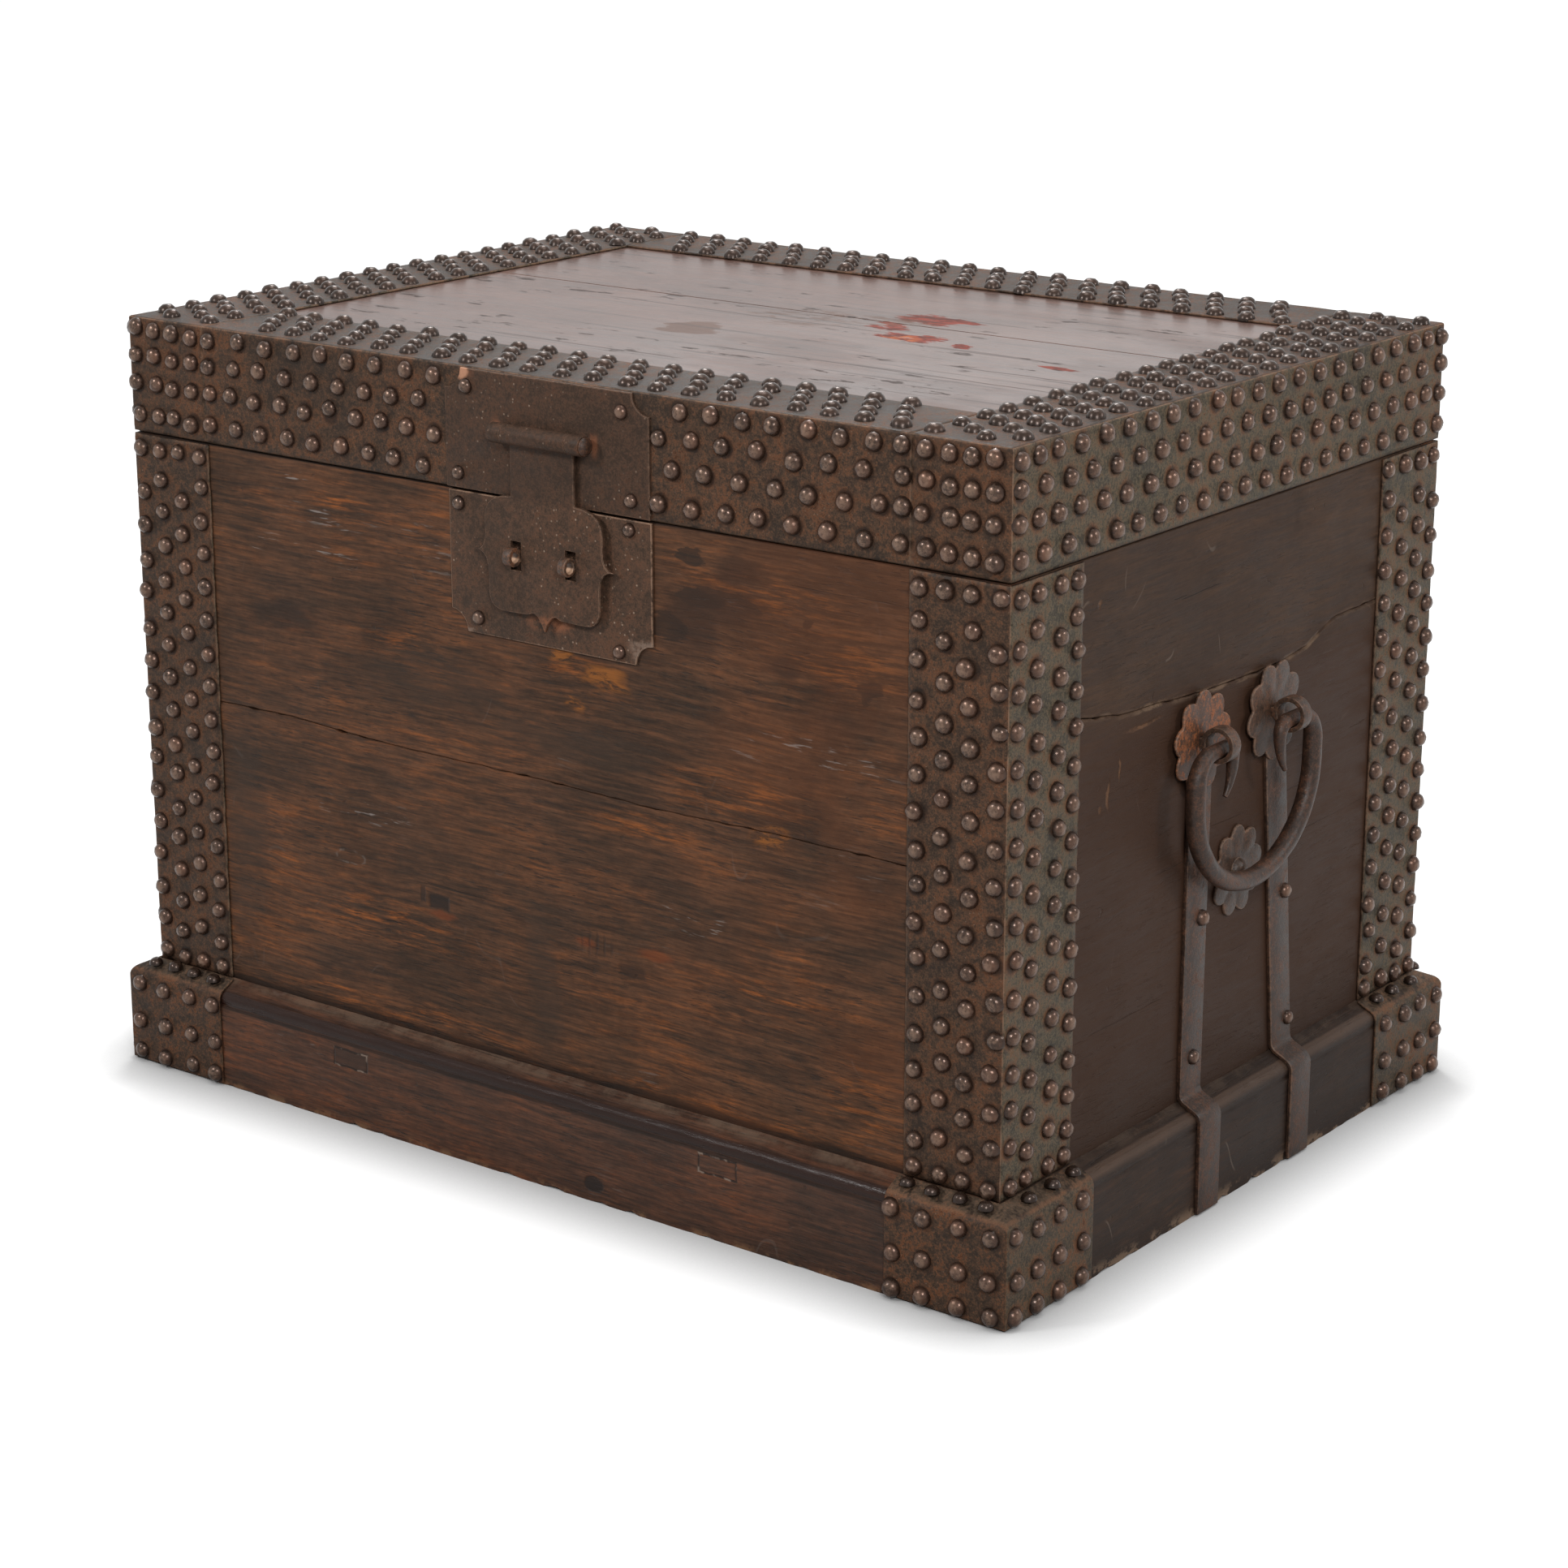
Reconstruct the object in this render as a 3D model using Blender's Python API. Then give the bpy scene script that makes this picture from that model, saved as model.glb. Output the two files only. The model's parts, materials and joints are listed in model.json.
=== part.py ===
# Iron-bound chest: plank body on a moulded plinth, boxed lid on two rear hinges,
# hasp lock at the front and a drop bail at each end.
# Metres, +Z up, front towards -Y, origin on the floor under the middle of the chest.
import math

import bmesh
import bpy
from mathutils import Matrix, Vector

# Overall form, measured over the iron faces
BODY_W = 0.800
BODY_D = 0.572
CHEST_H = 0.594
LID_H = 0.088
PLINTH_H = 0.083
PLINTH_OUT = 0.018

# Fits, sheet iron and wood
CLEAR = 0.0003
IRON_T = 0.0015
BOARD_T = 0.022
BOARD_EDGE = 0.001
FLOOR_T = 0.018
LID_TOP_T = 0.020
LID_JOINT_Y = 0.045
FRONT_JOINT_Z = 0.302
END_JOINT_Z = 0.395

# Plinth moulding: quirk groove, round bead and a sloping top
PLINTH_IN = 0.045
SHELF_DEEP = 0.023
BEAD_TOP = 0.077
BEAD_R = 0.007
QUIRK = 0.0015
MOULD_STEPS = 6

# Iron corners and lid bindings
PLATE_LEG_FRONT = 0.079
PLATE_LEG_END = 0.085
CAP_OVERLAP = 0.003
CAP_FOOT = 0.0015
LID_RETURN = 0.078
LID_BORDER = 0.080
FOLD_R = 0.001
FOLD_STEPS = 3

# Lock: plates, hasp barrel, hasp leaf and staples
LOCK_X = 0.014
LOCK_W = 0.185
LOCK_PLATE_T = 0.002
LOCK_PLATE_MARGIN = 0.001
LOCK_LOWER_H = 0.102
LOCK_NOTCH = 0.015
LOCK_PLATE_EDGE = 0.0005
BARREL_DROP = 0.041
BARREL_R = 0.0072
BARREL_MID = 0.0588
BARREL_END = 0.012
HASP_PIN_R = 0.003
HASP_HEAD_R = 0.0068
HASP_HEAD_L = 0.0045
HASP_T = 0.003
HASP_LIFT = 0.0015
HASP_NECK_W = 0.058
HASP_SHOULDER_DROP = 0.0445
HASP_LOBE_W = 0.108
HASP_LOBE_DROP = 0.064
HASP_CUSP_W = 0.127
HASP_CUSP_DROP = 0.0865
HASP_CHIN_W = 0.102
HASP_CHIN_DROP = 0.128
HASP_CHIN_R = 0.014
HASP_TIP_DROP = 0.138
HASP_EDGE = 0.0006
SLOT_W = 0.010
SLOT_H = 0.021
STAPLE_GAP = 0.050
STAPLE_BORE_R = 0.0038
STAPLE_BAND = 0.003
STAPLE_T = 0.0065
STAPLE_STEM = 0.008

# Split pins: prongs clinched on the inside of the wall
PRONG_L = 0.014
PRONG_T = 0.0025
PIN_STEPS = 20

# End handles: straps, rosettes, eyes and bail
HANDLE_Z = 0.349
EYE_GAP = 0.098
EYE_BORE_R = 0.0095
EYE_BAND = 0.0035
EYE_T = 0.011
EYE_STEM = 0.007
EYE_NECK = 0.001
STRAP_T = 0.003
STRAP_W = 0.028
STRAP_HEAD = 0.022
STRAP_FOOT = 0.0015
STRAP_BEND_R = 0.009
STRAP_SHIFT = 0.003
STRAP_FRONT_SPLAY = 0.001
STRAP_BACK_SPLAY = 0.030
ROSETTE_R = 0.037
ROSETTE_T = 0.002
ROSETTE_DIP = 0.0065
ROSETTE_LOBES = 9
ROSETTE_EDGE = 0.0006
LOBE_STEPS = 6
STRIKE_R = 0.034
STRIKE_Y = 0.010
STRIKE_DROP = 0.110
STRIKE_DOME_R = 0.009
STRIKE_DOME_H = 0.0065
BAIL_R = 0.007
BAIL_EYE_R = 0.0055
BAIL_TIP_R = 0.0015
BAIL_W = 0.160
BAIL_DROP = 0.106
BAIL_CROWN = 0.036
BAIL_TURN_R = 0.020
HOOK_TURN_R = 0.009
HOOK_GAP = 0.002
HOOK_L = 0.036
BAIL_SIDES = 12

# Rear hinges, set in from the ends
HINGE_INSET = 0.165
HINGE_W = 0.056
HINGE_LEAF_H = 0.070
HINGE_LEAF_T = 0.0025
HINGE_NOTCH = 0.010
KNUCKLE_R = 0.006
KNUCKLE_MID = 0.020
HINGE_PIN_R = 0.0025

# Facets of round forms and of curved outlines
ROUND_STEPS = 24
CURVE_STEPS = 5
DOME_STEPS = 4
SMOOTH_ANGLE = math.radians(30)
FACING = 0.5
TOUCH = 1e-6

# Values that follow from the sizes above
SKIN = IRON_T + CLEAR
WOOD_X = BODY_W / 2 - SKIN
WOOD_Y = BODY_D / 2 - SKIN
SPLIT_Z = CHEST_H - LID_H
RIM_Z = SPLIT_Z - CLEAR
WALL_FOOT = PLINTH_H - SHELF_DEEP + CLEAR
LID_TOP_Z = CHEST_H - SKIN
LID_TOP_UNDER = LID_TOP_Z - LID_TOP_T
LOCK_FACE = BODY_D / 2 + CLEAR + LOCK_PLATE_T
LOCK_SPAN = (LOCK_X - LOCK_W / 2, LOCK_X + LOCK_W / 2)
BARREL_Y = -(LOCK_FACE + CLEAR + BARREL_R)
BARREL_Z = CHEST_H - BARREL_DROP
BARREL_HALF = BARREL_MID / 2 + CLEAR + BARREL_END
HASP_FACE = LOCK_FACE + HASP_LIFT + HASP_T
STAPLE_XS = (LOCK_X - STAPLE_GAP / 2, LOCK_X + STAPLE_GAP / 2)
STAPLE_Z = BARREL_Z - HASP_CUSP_DROP
STAPLE_OUT = HASP_FACE + CLEAR + STAPLE_BORE_R - WOOD_Y
ROSETTE_BACK = STRAP_T + 2 * CLEAR
ROSETTE_FACE = ROSETTE_BACK + ROSETTE_T
EYE_YS = (-EYE_GAP / 2, EYE_GAP / 2)
EYE_OUT = ROSETTE_FACE + EYE_NECK + EYE_BORE_R + EYE_BAND
BAIL_Z = HANDLE_Z - EYE_BORE_R + BAIL_EYE_R + CLEAR
HINGE_X = BODY_W / 2 - HINGE_INSET
HINGE_Y = BODY_D / 2 + CLEAR + KNUCKLE_R
HINGE_Z = SPLIT_Z - CLEAR / 2

# Looks: base colour, roughness and metallic value
OILED_WOOD = ((0.075, 0.038, 0.021), 0.42, 0.0)
GREY_WOOD = ((0.055, 0.043, 0.035), 0.50, 0.0)
TOP_WOOD = ((0.240, 0.185, 0.165), 0.35, 0.0)
SHEET_IRON = ((0.085, 0.066, 0.052), 0.48, 0.75)
FORGED_IRON = ((0.070, 0.056, 0.047), 0.45, 0.80)
RUSTED_IRON = ((0.130, 0.080, 0.052), 0.58, 0.60)


def arc(centre, radius, start, end, steps):
    # Points along a circular arc in a plane, both ends included
    turns = [start + (end - start) * i / steps for i in range(steps + 1)]
    return [(centre[0] + radius * math.cos(t), centre[1] + radius * math.sin(t)) for t in turns]


def curve(start, pull, end):
    # Points of a curve drawn towards a pull point, without its first end
    points = []
    for i in range(1, CURVE_STEPS + 1):
        t = i / CURVE_STEPS
        shares = ((1 - t) ** 2, 2 * t * (1 - t), t ** 2)
        ends = (start, pull, end)
        points.append(tuple(sum(s * p[k] for s, p in zip(shares, ends)) for k in (0, 1)))
    return points


def rounded(before, corner, after, radius, steps):
    # A corner between two straight runs, replaced by an arc that touches both
    corner = Vector(corner)
    back = (Vector(before) - corner).normalized()
    ahead = (Vector(after) - corner).normalized()
    half = back.angle(ahead) / 2
    centre = corner + (back + ahead).normalized() * radius / math.sin(half)
    first = corner + back * radius / math.tan(half) - centre
    start = math.atan2(first.y, first.x)
    turn = math.copysign(math.pi - 2 * half, ahead.x * back.y - ahead.y * back.x)
    return arc(centre, radius, start, start + turn, steps)


def offset(path, distance):
    # An open run of points shifted to its left by one distance
    shifted = []
    for i, point in enumerate(path):
        here = Vector(point)
        runs = []
        if i > 0:
            runs.append((here - Vector(path[i - 1])).normalized())
        if i < len(path) - 1:
            runs.append((Vector(path[i + 1]) - here).normalized())
        along = sum(runs, Vector((0, 0))).normalized()
        left = Vector((-along.y, along.x))
        shifted.append(tuple(here + left * distance / along.dot(runs[0])))
    return shifted


def loft(rings):
    # A closed solid through rings of points, with a flat face at each end
    bm = bmesh.new()
    rows = [[bm.verts.new(point) for point in ring] for ring in rings]
    count = len(rows[0])
    for low, high in zip(rows, rows[1:]):
        for i in range(count):
            j = (i + 1) % count
            bm.faces.new((low[i], low[j], high[j], high[i]))
    bm.faces.new(rows[0])
    bm.faces.new(rows[-1])
    bmesh.ops.recalc_face_normals(bm, faces=bm.faces)
    return bm


def lay(outline, axis, level):
    # A flat outline set square to an axis at one level
    order = {"x": (2, 0, 1), "y": (0, 2, 1), "z": (0, 1, 2)}[axis]
    return [tuple((a, b, level)[k] for k in order) for a, b in outline]


def prism(outline, axis, low, high):
    return loft([lay(outline, axis, low), lay(outline, axis, high)])


def ease(bm, edges, width, steps=1):
    bmesh.ops.bevel(bm, geom=edges, offset=width, offset_type="OFFSET", affect="EDGES",
                    segments=steps, profile=0.5, material=-1, clamp_overlap=True)


def block(corner, opposite, edge=0.0):
    # A box between two corners, with its edges eased if asked
    size = [abs(b - a) for a, b in zip(corner, opposite)]
    middle = [(a + b) / 2 for a, b in zip(corner, opposite)]
    bm = bmesh.new()
    matrix = Matrix.Translation(middle) @ Matrix.Diagonal((*size, 1))
    bmesh.ops.create_cube(bm, size=1, matrix=matrix)
    if edge:
        ease(bm, bm.edges[:], edge)
    return bm


def plate(outline, axis, back, face, edge):
    # A flat plate whose rim is eased on its face
    bm = prism(outline, axis, back, face)
    k = "xyz".index(axis)
    rim = [e for e in bm.edges if all(abs(v.co[k] - face) < TOUCH for v in e.verts)]
    ease(bm, rim, edge)
    return bm


def rod(axis, centre, radius, low, high):
    # A round bar along one axis; centre holds the other two coordinates
    return prism(arc(centre, radius, 0, 2 * math.pi, ROUND_STEPS)[:-1], axis, low, high)


def dome(axis, centre, radius, base, top):
    # A round-headed boss between two levels of an axis
    rings = []
    for i in range(DOME_STEPS + 1):
        t = math.pi / 2 * i / (DOME_STEPS + 1)
        outline = arc(centre, radius * math.cos(t), 0, 2 * math.pi, ROUND_STEPS)[:-1]
        rings.append(lay(outline, axis, base + (top - base) * math.sin(t)))
    return loft(rings)


def tube(path, radii, place):
    # A round rod along a flat path; place turns path point and depth into space
    rings = []
    for i, point in enumerate(path):
        before = Vector(path[max(i - 1, 0)])
        after = Vector(path[min(i + 1, len(path) - 1)])
        along = (after - before).normalized()
        across = Vector((-along.y, along.x))
        ring = []
        for k in range(BAIL_SIDES):
            t = 2 * math.pi * k / BAIL_SIDES
            ring.append(place(Vector(point) + across * radii[i] * math.cos(t), radii[i] * math.sin(t)))
        rings.append(ring)
    return loft(rings)


def stand(name, bm):
    # A mesh object in the scene, made from a finished shape
    mesh = bpy.data.meshes.new(name)
    bm.to_mesh(mesh)
    bm.free()
    body = bpy.data.objects.new(name, mesh)
    bpy.context.scene.collection.objects.link(body)
    return body


def material(name, look):
    colour, roughness, metallic = look
    skin = bpy.data.materials.new(name)
    skin.use_nodes = True
    shader = skin.node_tree.nodes["Principled BSDF"]
    shader.inputs["Base Color"].default_value = (*colour, 1)
    shader.inputs["Roughness"].default_value = roughness
    shader.inputs["Metallic"].default_value = metallic
    return skin


def piece(name, look, shape, pivot, joins=(), cuts=()):
    # One sub-part: its shape, what is welded to it and what is cut from it, hung on a pivot
    body = stand(name, shape)
    steps = [(tool, "UNION") for tool in joins] + [(tool, "DIFFERENCE") for tool in cuts]
    for tool, operation in steps:
        helper = stand(name + "_tool", tool)
        step = body.modifiers.new(operation, "BOOLEAN")
        step.operation = operation
        step.solver = "EXACT"
        step.object = helper
        graph = bpy.context.evaluated_depsgraph_get()
        result = bpy.data.meshes.new_from_object(body.evaluated_get(graph))
        body.modifiers.clear()
        body.data = result
        bpy.data.objects.remove(helper)
    body.data.name = name
    body.data.transform(Matrix.Translation(-pivot.matrix_world.translation))
    body.data.shade_smooth()
    body.data.set_sharp_from_angle(angle=SMOOTH_ANGLE)
    body.data.materials.append(material(name, look))
    body.parent = pivot
    return body


def pivot_at(name, place, parent=None):
    # An empty on a joint's axis, or at the origin for what stands still
    empty = bpy.data.objects.new(name, None)
    bpy.context.scene.collection.objects.link(empty)
    empty.location = Vector(place)
    if parent:
        empty.location = Vector(place) - parent.matrix_world.translation
        empty.parent = parent
    bpy.context.view_layer.update()
    return empty


def split_pin(outward, height, outer, stem):
    # Ring, stem through the wall and two prongs bent flat behind it: distance from the wood, height
    mouth = math.asin(stem / 2 / outer)
    ring = arc((outward, height), outer, math.pi - mouth, mouth - math.pi, PIN_STEPS)
    inside = -(BOARD_T + CLEAR)
    low = height - stem / 2
    high = height + stem / 2
    return ring + [(inside, low), (inside, low - PRONG_L), (inside - PRONG_T, low - PRONG_L),
                   (inside - PRONG_T, high + PRONG_L), (inside, high + PRONG_L), (inside, high)]


def folded(leg_a, leg_b):
    # Section of sheet folded over a square edge of wood that lies at the origin
    outer = arc((0, 0), SKIN, math.pi / 2, 0, FOLD_STEPS)
    inner = arc((0, 0), CLEAR, 0, math.pi / 2, FOLD_STEPS)
    return ([(SKIN - leg_a, SKIN)] + outer + [(SKIN, SKIN - leg_b), (CLEAR, SKIN - leg_b)]
            + inner + [(SKIN - leg_a, CLEAR)])


def notched(left, right, plain, scooped, notch):
    # A rectangle with a hollow quarter round cut from both corners of one side
    turn = math.copysign(math.pi, plain - scooped)
    return ([(left, plain), (right, plain)]
            + arc((right, scooped), notch, turn / 2, turn, CURVE_STEPS)
            + arc((left, scooped), notch, 0, turn / 2, CURVE_STEPS))


def lobed(centre, radius, turn):
    # Flower outline: round lobes with a sharp dip between each two
    points = []
    count = ROSETTE_LOBES * LOBE_STEPS
    for i in range(count):
        t = 2 * math.pi * i / count
        r = radius - ROSETTE_DIP * (1 - abs(math.cos(ROSETTE_LOBES * t / 2)))
        points.append((centre[0] + r * math.cos(t + turn), centre[1] + r * math.sin(t + turn)))
    return points


def bead_run(start, top):
    # The plinth's bead from an angle up to where the slope towards the top point leaves it
    centre = Vector((PLINTH_OUT - BEAD_R, BEAD_TOP - BEAD_R))
    reach = Vector(top) - centre
    leave = math.atan2(reach.y, reach.x) - math.acos(BEAD_R / reach.length)
    return arc(centre, BEAD_R, start, leave, MOULD_STEPS) + [tuple(top)]


def staple_hole(x):
    return block((x - STAPLE_T / 2 - CLEAR, -BODY_D, STAPLE_Z - STAPLE_STEM / 2 - CLEAR),
                 (x + STAPLE_T / 2 + CLEAR, 0, STAPLE_Z + STAPLE_STEM / 2 + CLEAR))


def eye_hole(side, y):
    return block((0, y - EYE_T / 2 - CLEAR, HANDLE_Z - EYE_STEM / 2 - CLEAR),
                 (side * BODY_W, y + EYE_T / 2 + CLEAR, HANDLE_Z + EYE_STEM / 2 + CLEAR))


def courses(joint):
    # The lower and the upper board of one wall
    return (("lower", WALL_FOOT, joint - CLEAR / 2), ("upper", joint + CLEAR / 2, RIM_Z))


def make_walls(root):
    for name, way in (("front", -1), ("back", 1)):
        for course, low, high in courses(FRONT_JOINT_Z):
            shape = block((-WOOD_X, way * (WOOD_Y - BOARD_T), low),
                          (WOOD_X, way * WOOD_Y, high), BOARD_EDGE)
            holes = [staple_hole(x) for x in STAPLE_XS] if way < 0 else []
            piece(f"{name}_board_{course}", OILED_WOOD, shape, root, cuts=holes)
    reach = WOOD_Y - BOARD_T - CLEAR
    for name, side in (("left", -1), ("right", 1)):
        for course, low, high in courses(END_JOINT_Z):
            shape = block((side * (WOOD_X - BOARD_T), -reach, low),
                          (side * WOOD_X, reach, high), BOARD_EDGE)
            holes = [eye_hole(side, y) for y in EYE_YS]
            piece(f"{name}_board_{course}", GREY_WOOD, shape, root, cuts=holes)
    half = WOOD_X - BOARD_T - CLEAR
    floor = block((-half, -reach, WALL_FOOT), (half, reach, WALL_FOOT + FLOOR_T), BOARD_EDGE)
    piece("floor_board", GREY_WOOD, floor, root)


def make_plinth(root):
    dip = math.acos(1 - QUIRK / BEAD_R)
    groove_z = BEAD_TOP - BEAD_R - BEAD_R * math.sin(dip)
    shelf = WALL_FOOT - CLEAR
    section = ([(-PLINTH_IN, 0), (PLINTH_OUT, 0), (PLINTH_OUT, groove_z - QUIRK)]
               + bead_run(-dip, (CLEAR, PLINTH_H)) + [(CLEAR, shelf), (-PLINTH_IN, shelf)])
    for name, way in (("front", -1), ("back", 1)):
        ends = [[(s * (WOOD_X + u - CLEAR), way * (WOOD_Y + u), z) for u, z in section] for s in (-1, 1)]
        piece(f"plinth_{name}", OILED_WOOD, loft(ends), root)
    for name, side in (("left", -1), ("right", 1)):
        ends = [[(side * (WOOD_X + u), s * (WOOD_Y + u - CLEAR), z) for u, z in section] for s in (-1, 1)]
        piece(f"plinth_{name}", GREY_WOOD, loft(ends), root)


def make_corner_irons(root):
    run = [(PLINTH_OUT, CAP_FOOT)] + bead_run(0, (CLEAR, PLINTH_H))
    slope = Vector(run[-1]) - Vector(run[-2])
    stop = Vector(run[-1]) - slope * (SKIN + CLEAR) / -slope.x
    run[-1] = tuple(stop)
    cap = offset(run, -CLEAR - IRON_T) + offset(run, -CLEAR)[::-1]
    edge_x = BODY_W / 2 - PLATE_LEG_FRONT
    edge_y = BODY_D / 2 - PLATE_LEG_END
    for row, way in (("front", -1), ("back", 1)):
        for column, side in (("left", -1), ("right", 1)):
            outline = [(side * (WOOD_X + a), way * (WOOD_Y + b))
                       for a, b in folded(PLATE_LEG_FRONT, PLATE_LEG_END)]
            shape = prism(outline, "z", PLINTH_H + CLEAR, RIM_Z)
            piece(f"corner_plate_{row}_{column}", SHEET_IRON, shape, root)
            rings = [[(side * (edge_x - CAP_OVERLAP), way * (WOOD_Y + u), z) for u, z in cap],
                     [(side * (WOOD_X + u), way * (WOOD_Y + u), z) for u, z in cap],
                     [(side * (WOOD_X + u), way * (edge_y - CAP_OVERLAP), z) for u, z in cap]]
            piece(f"plinth_cap_{row}_{column}", SHEET_IRON, loft(rings), root)


def end_binding(side):
    # Sheet box over one end of the lid: top strip, end face and a return round each corner
    inner = BODY_W / 2 - LID_RETURN
    shell = block((side * inner, -BODY_D / 2, SPLIT_Z), (side * BODY_W / 2, BODY_D / 2, CHEST_H))
    cut_sides = [f for f in shell.faces if f.normal.z < -FACING or f.normal.x * side < -FACING]
    folds = [e for e in shell.edges if not any(f in cut_sides for f in e.link_faces)]
    ease(shell, folds, FOLD_R, FOLD_STEPS)
    hollow = block((0, IRON_T - BODY_D / 2, 0),
                   (side * (BODY_W / 2 - IRON_T), BODY_D / 2 - IRON_T, CHEST_H - IRON_T))
    return shell, hollow


def make_lid(axis):
    planks = (("front", -WOOD_Y, LID_JOINT_Y - CLEAR / 2), ("back", LID_JOINT_Y + CLEAR / 2, WOOD_Y))
    for name, low, high in planks:
        shape = block((-WOOD_X, low, LID_TOP_UNDER), (WOOD_X, high, LID_TOP_Z), BOARD_EDGE)
        piece(f"lid_top_plank_{name}", TOP_WOOD, shape, axis)
    rail_top = LID_TOP_UNDER - CLEAR
    half = BODY_W / 2 - LID_RETURN - CLEAR
    for name, way in (("front", -1), ("back", 1)):
        rail = block((-WOOD_X, way * (WOOD_Y - BOARD_T), SPLIT_Z),
                     (WOOD_X, way * WOOD_Y, rail_top), BOARD_EDGE)
        piece(f"lid_rail_{name}", OILED_WOOD, rail, axis)
        outline = [(way * (WOOD_Y + a), LID_TOP_Z + b) for a, b in folded(LID_BORDER, LID_H)]
        piece(f"lid_binding_{name}", SHEET_IRON, prism(outline, "x", -half, half), axis)
    reach = WOOD_Y - BOARD_T - CLEAR
    for name, side in (("left", -1), ("right", 1)):
        rail = block((side * (WOOD_X - BOARD_T), -reach, SPLIT_Z),
                     (side * WOOD_X, reach, rail_top), BOARD_EDGE)
        piece(f"lid_rail_{name}", GREY_WOOD, rail, axis)
        shell, hollow = end_binding(side)
        piece(f"lid_binding_{name}", SHEET_IRON, shell, axis, cuts=[hollow])


def hasp_outline():
    # Neck, rounded shoulders, a barb at each side, a rounded chin and a pointed tip
    shoulder = (HASP_NECK_W / 2, -HASP_SHOULDER_DROP)
    lobe = (HASP_LOBE_W / 2, -HASP_LOBE_DROP)
    barb = (HASP_CUSP_W / 2, -HASP_CUSP_DROP)
    cheek = (HASP_CHIN_W / 2, -HASP_CUSP_DROP - HASP_CHIN_R)
    jaw = (HASP_CHIN_W / 2, -HASP_CHIN_DROP + HASP_CHIN_R)
    chin = (HASP_CHIN_W / 2 - HASP_CHIN_R, -HASP_CHIN_DROP)
    hollow = (HASP_CHIN_R, -HASP_CHIN_DROP + HASP_EDGE)
    tip = (0, -HASP_TIP_DROP)
    half = [(HASP_NECK_W / 2, 0), shoulder]
    half += curve(shoulder, (lobe[0], shoulder[1]), lobe)
    half += curve(lobe, (cheek[0], barb[1]), barb)
    half += curve(barb, (cheek[0], barb[1]), cheek)
    half += [jaw]
    half += curve(jaw, (jaw[0], chin[1]), chin)
    half += curve(chin, ((chin[0] + hollow[0]) / 2, chin[1]), hollow)
    half += curve(hollow, (hollow[0] / 2, -HASP_CHIN_DROP + HASP_CHIN_R / 2), tip)
    return half + [(-a, b) for a, b in half[-2::-1]]


def make_lock(root, lid_axis):
    left, right = LOCK_SPAN
    bore = HASP_PIN_R + CLEAR
    top = notched(left, right, SPLIT_Z + LOCK_PLATE_MARGIN, CHEST_H - LOCK_PLATE_MARGIN, LOCK_NOTCH)
    upper = plate(top, "y", -BODY_D / 2 - CLEAR, -LOCK_FACE, LOCK_PLATE_EDGE)
    knuckles = []
    for way in (-1, 1):
        near = LOCK_X + way * (BARREL_MID / 2 + CLEAR)
        far = LOCK_X + way * BARREL_HALF
        web = block((near + way * CLEAR, BARREL_Y, BARREL_Z - BARREL_R / 2),
                    (far - way * CLEAR, LOCK_PLATE_T / 2 - LOCK_FACE, BARREL_Z + BARREL_R / 2))
        knuckles += [web, rod("x", (BARREL_Y, BARREL_Z), BARREL_R, near, far)]
    drill = rod("x", (BARREL_Y, BARREL_Z), bore, left, right)
    piece("lock_plate_upper", SHEET_IRON, upper, lid_axis, joins=knuckles, cuts=[drill])

    pin = rod("x", (BARREL_Y, BARREL_Z), HASP_PIN_R, LOCK_X - BARREL_HALF, LOCK_X + BARREL_HALF + 2 * CLEAR)
    head = dome("x", (BARREL_Y, BARREL_Z), HASP_HEAD_R, LOCK_X + BARREL_HALF + CLEAR,
                LOCK_X + BARREL_HALF + CLEAR + HASP_HEAD_L)
    piece("hasp_pin", RUSTED_IRON, pin, lid_axis, joins=[head])

    axis = pivot_at("hasp_axis", (LOCK_X, BARREL_Y, BARREL_Z), lid_axis)
    outline = [(LOCK_X + a, BARREL_Z + b) for a, b in hasp_outline()]
    leaf = plate(outline, "y", HASP_T - HASP_FACE, -HASP_FACE, HASP_EDGE)
    barrel = rod("x", (BARREL_Y, BARREL_Z), BARREL_R, LOCK_X - BARREL_MID / 2, LOCK_X + BARREL_MID / 2)
    drill = rod("x", (BARREL_Y, BARREL_Z), bore, left, right)
    slots = []
    for x in STAPLE_XS:
        slots.append(block((x - SLOT_W / 2, -BODY_D, STAPLE_Z - SLOT_H / 2),
                           (x + SLOT_W / 2, 0, STAPLE_Z + SLOT_H / 2)))
    piece("hasp", FORGED_IRON, leaf, axis, joins=[barrel], cuts=[drill] + slots)

    plate_top = RIM_Z - LOCK_PLATE_MARGIN
    low = notched(left, right, plate_top, plate_top - LOCK_LOWER_H, LOCK_NOTCH)
    lower = plate(low, "y", -WOOD_Y - CLEAR, -WOOD_Y - CLEAR - LOCK_PLATE_T, LOCK_PLATE_EDGE)
    piece("lock_plate_lower", SHEET_IRON, lower, root, cuts=[staple_hole(x) for x in STAPLE_XS])

    for name, x in zip(("left", "right"), STAPLE_XS):
        section = [(-WOOD_Y - d, z)
                   for d, z in split_pin(STAPLE_OUT, STAPLE_Z, STAPLE_BORE_R + STAPLE_BAND, STAPLE_STEM)]
        ring = prism(section, "x", x - STAPLE_T / 2, x + STAPLE_T / 2)
        eye = rod("x", (-WOOD_Y - STAPLE_OUT, STAPLE_Z), STAPLE_BORE_R, x - STAPLE_T, x + STAPLE_T)
        piece(f"staple_{name}", FORGED_IRON, ring, root, cuts=[eye])


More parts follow.
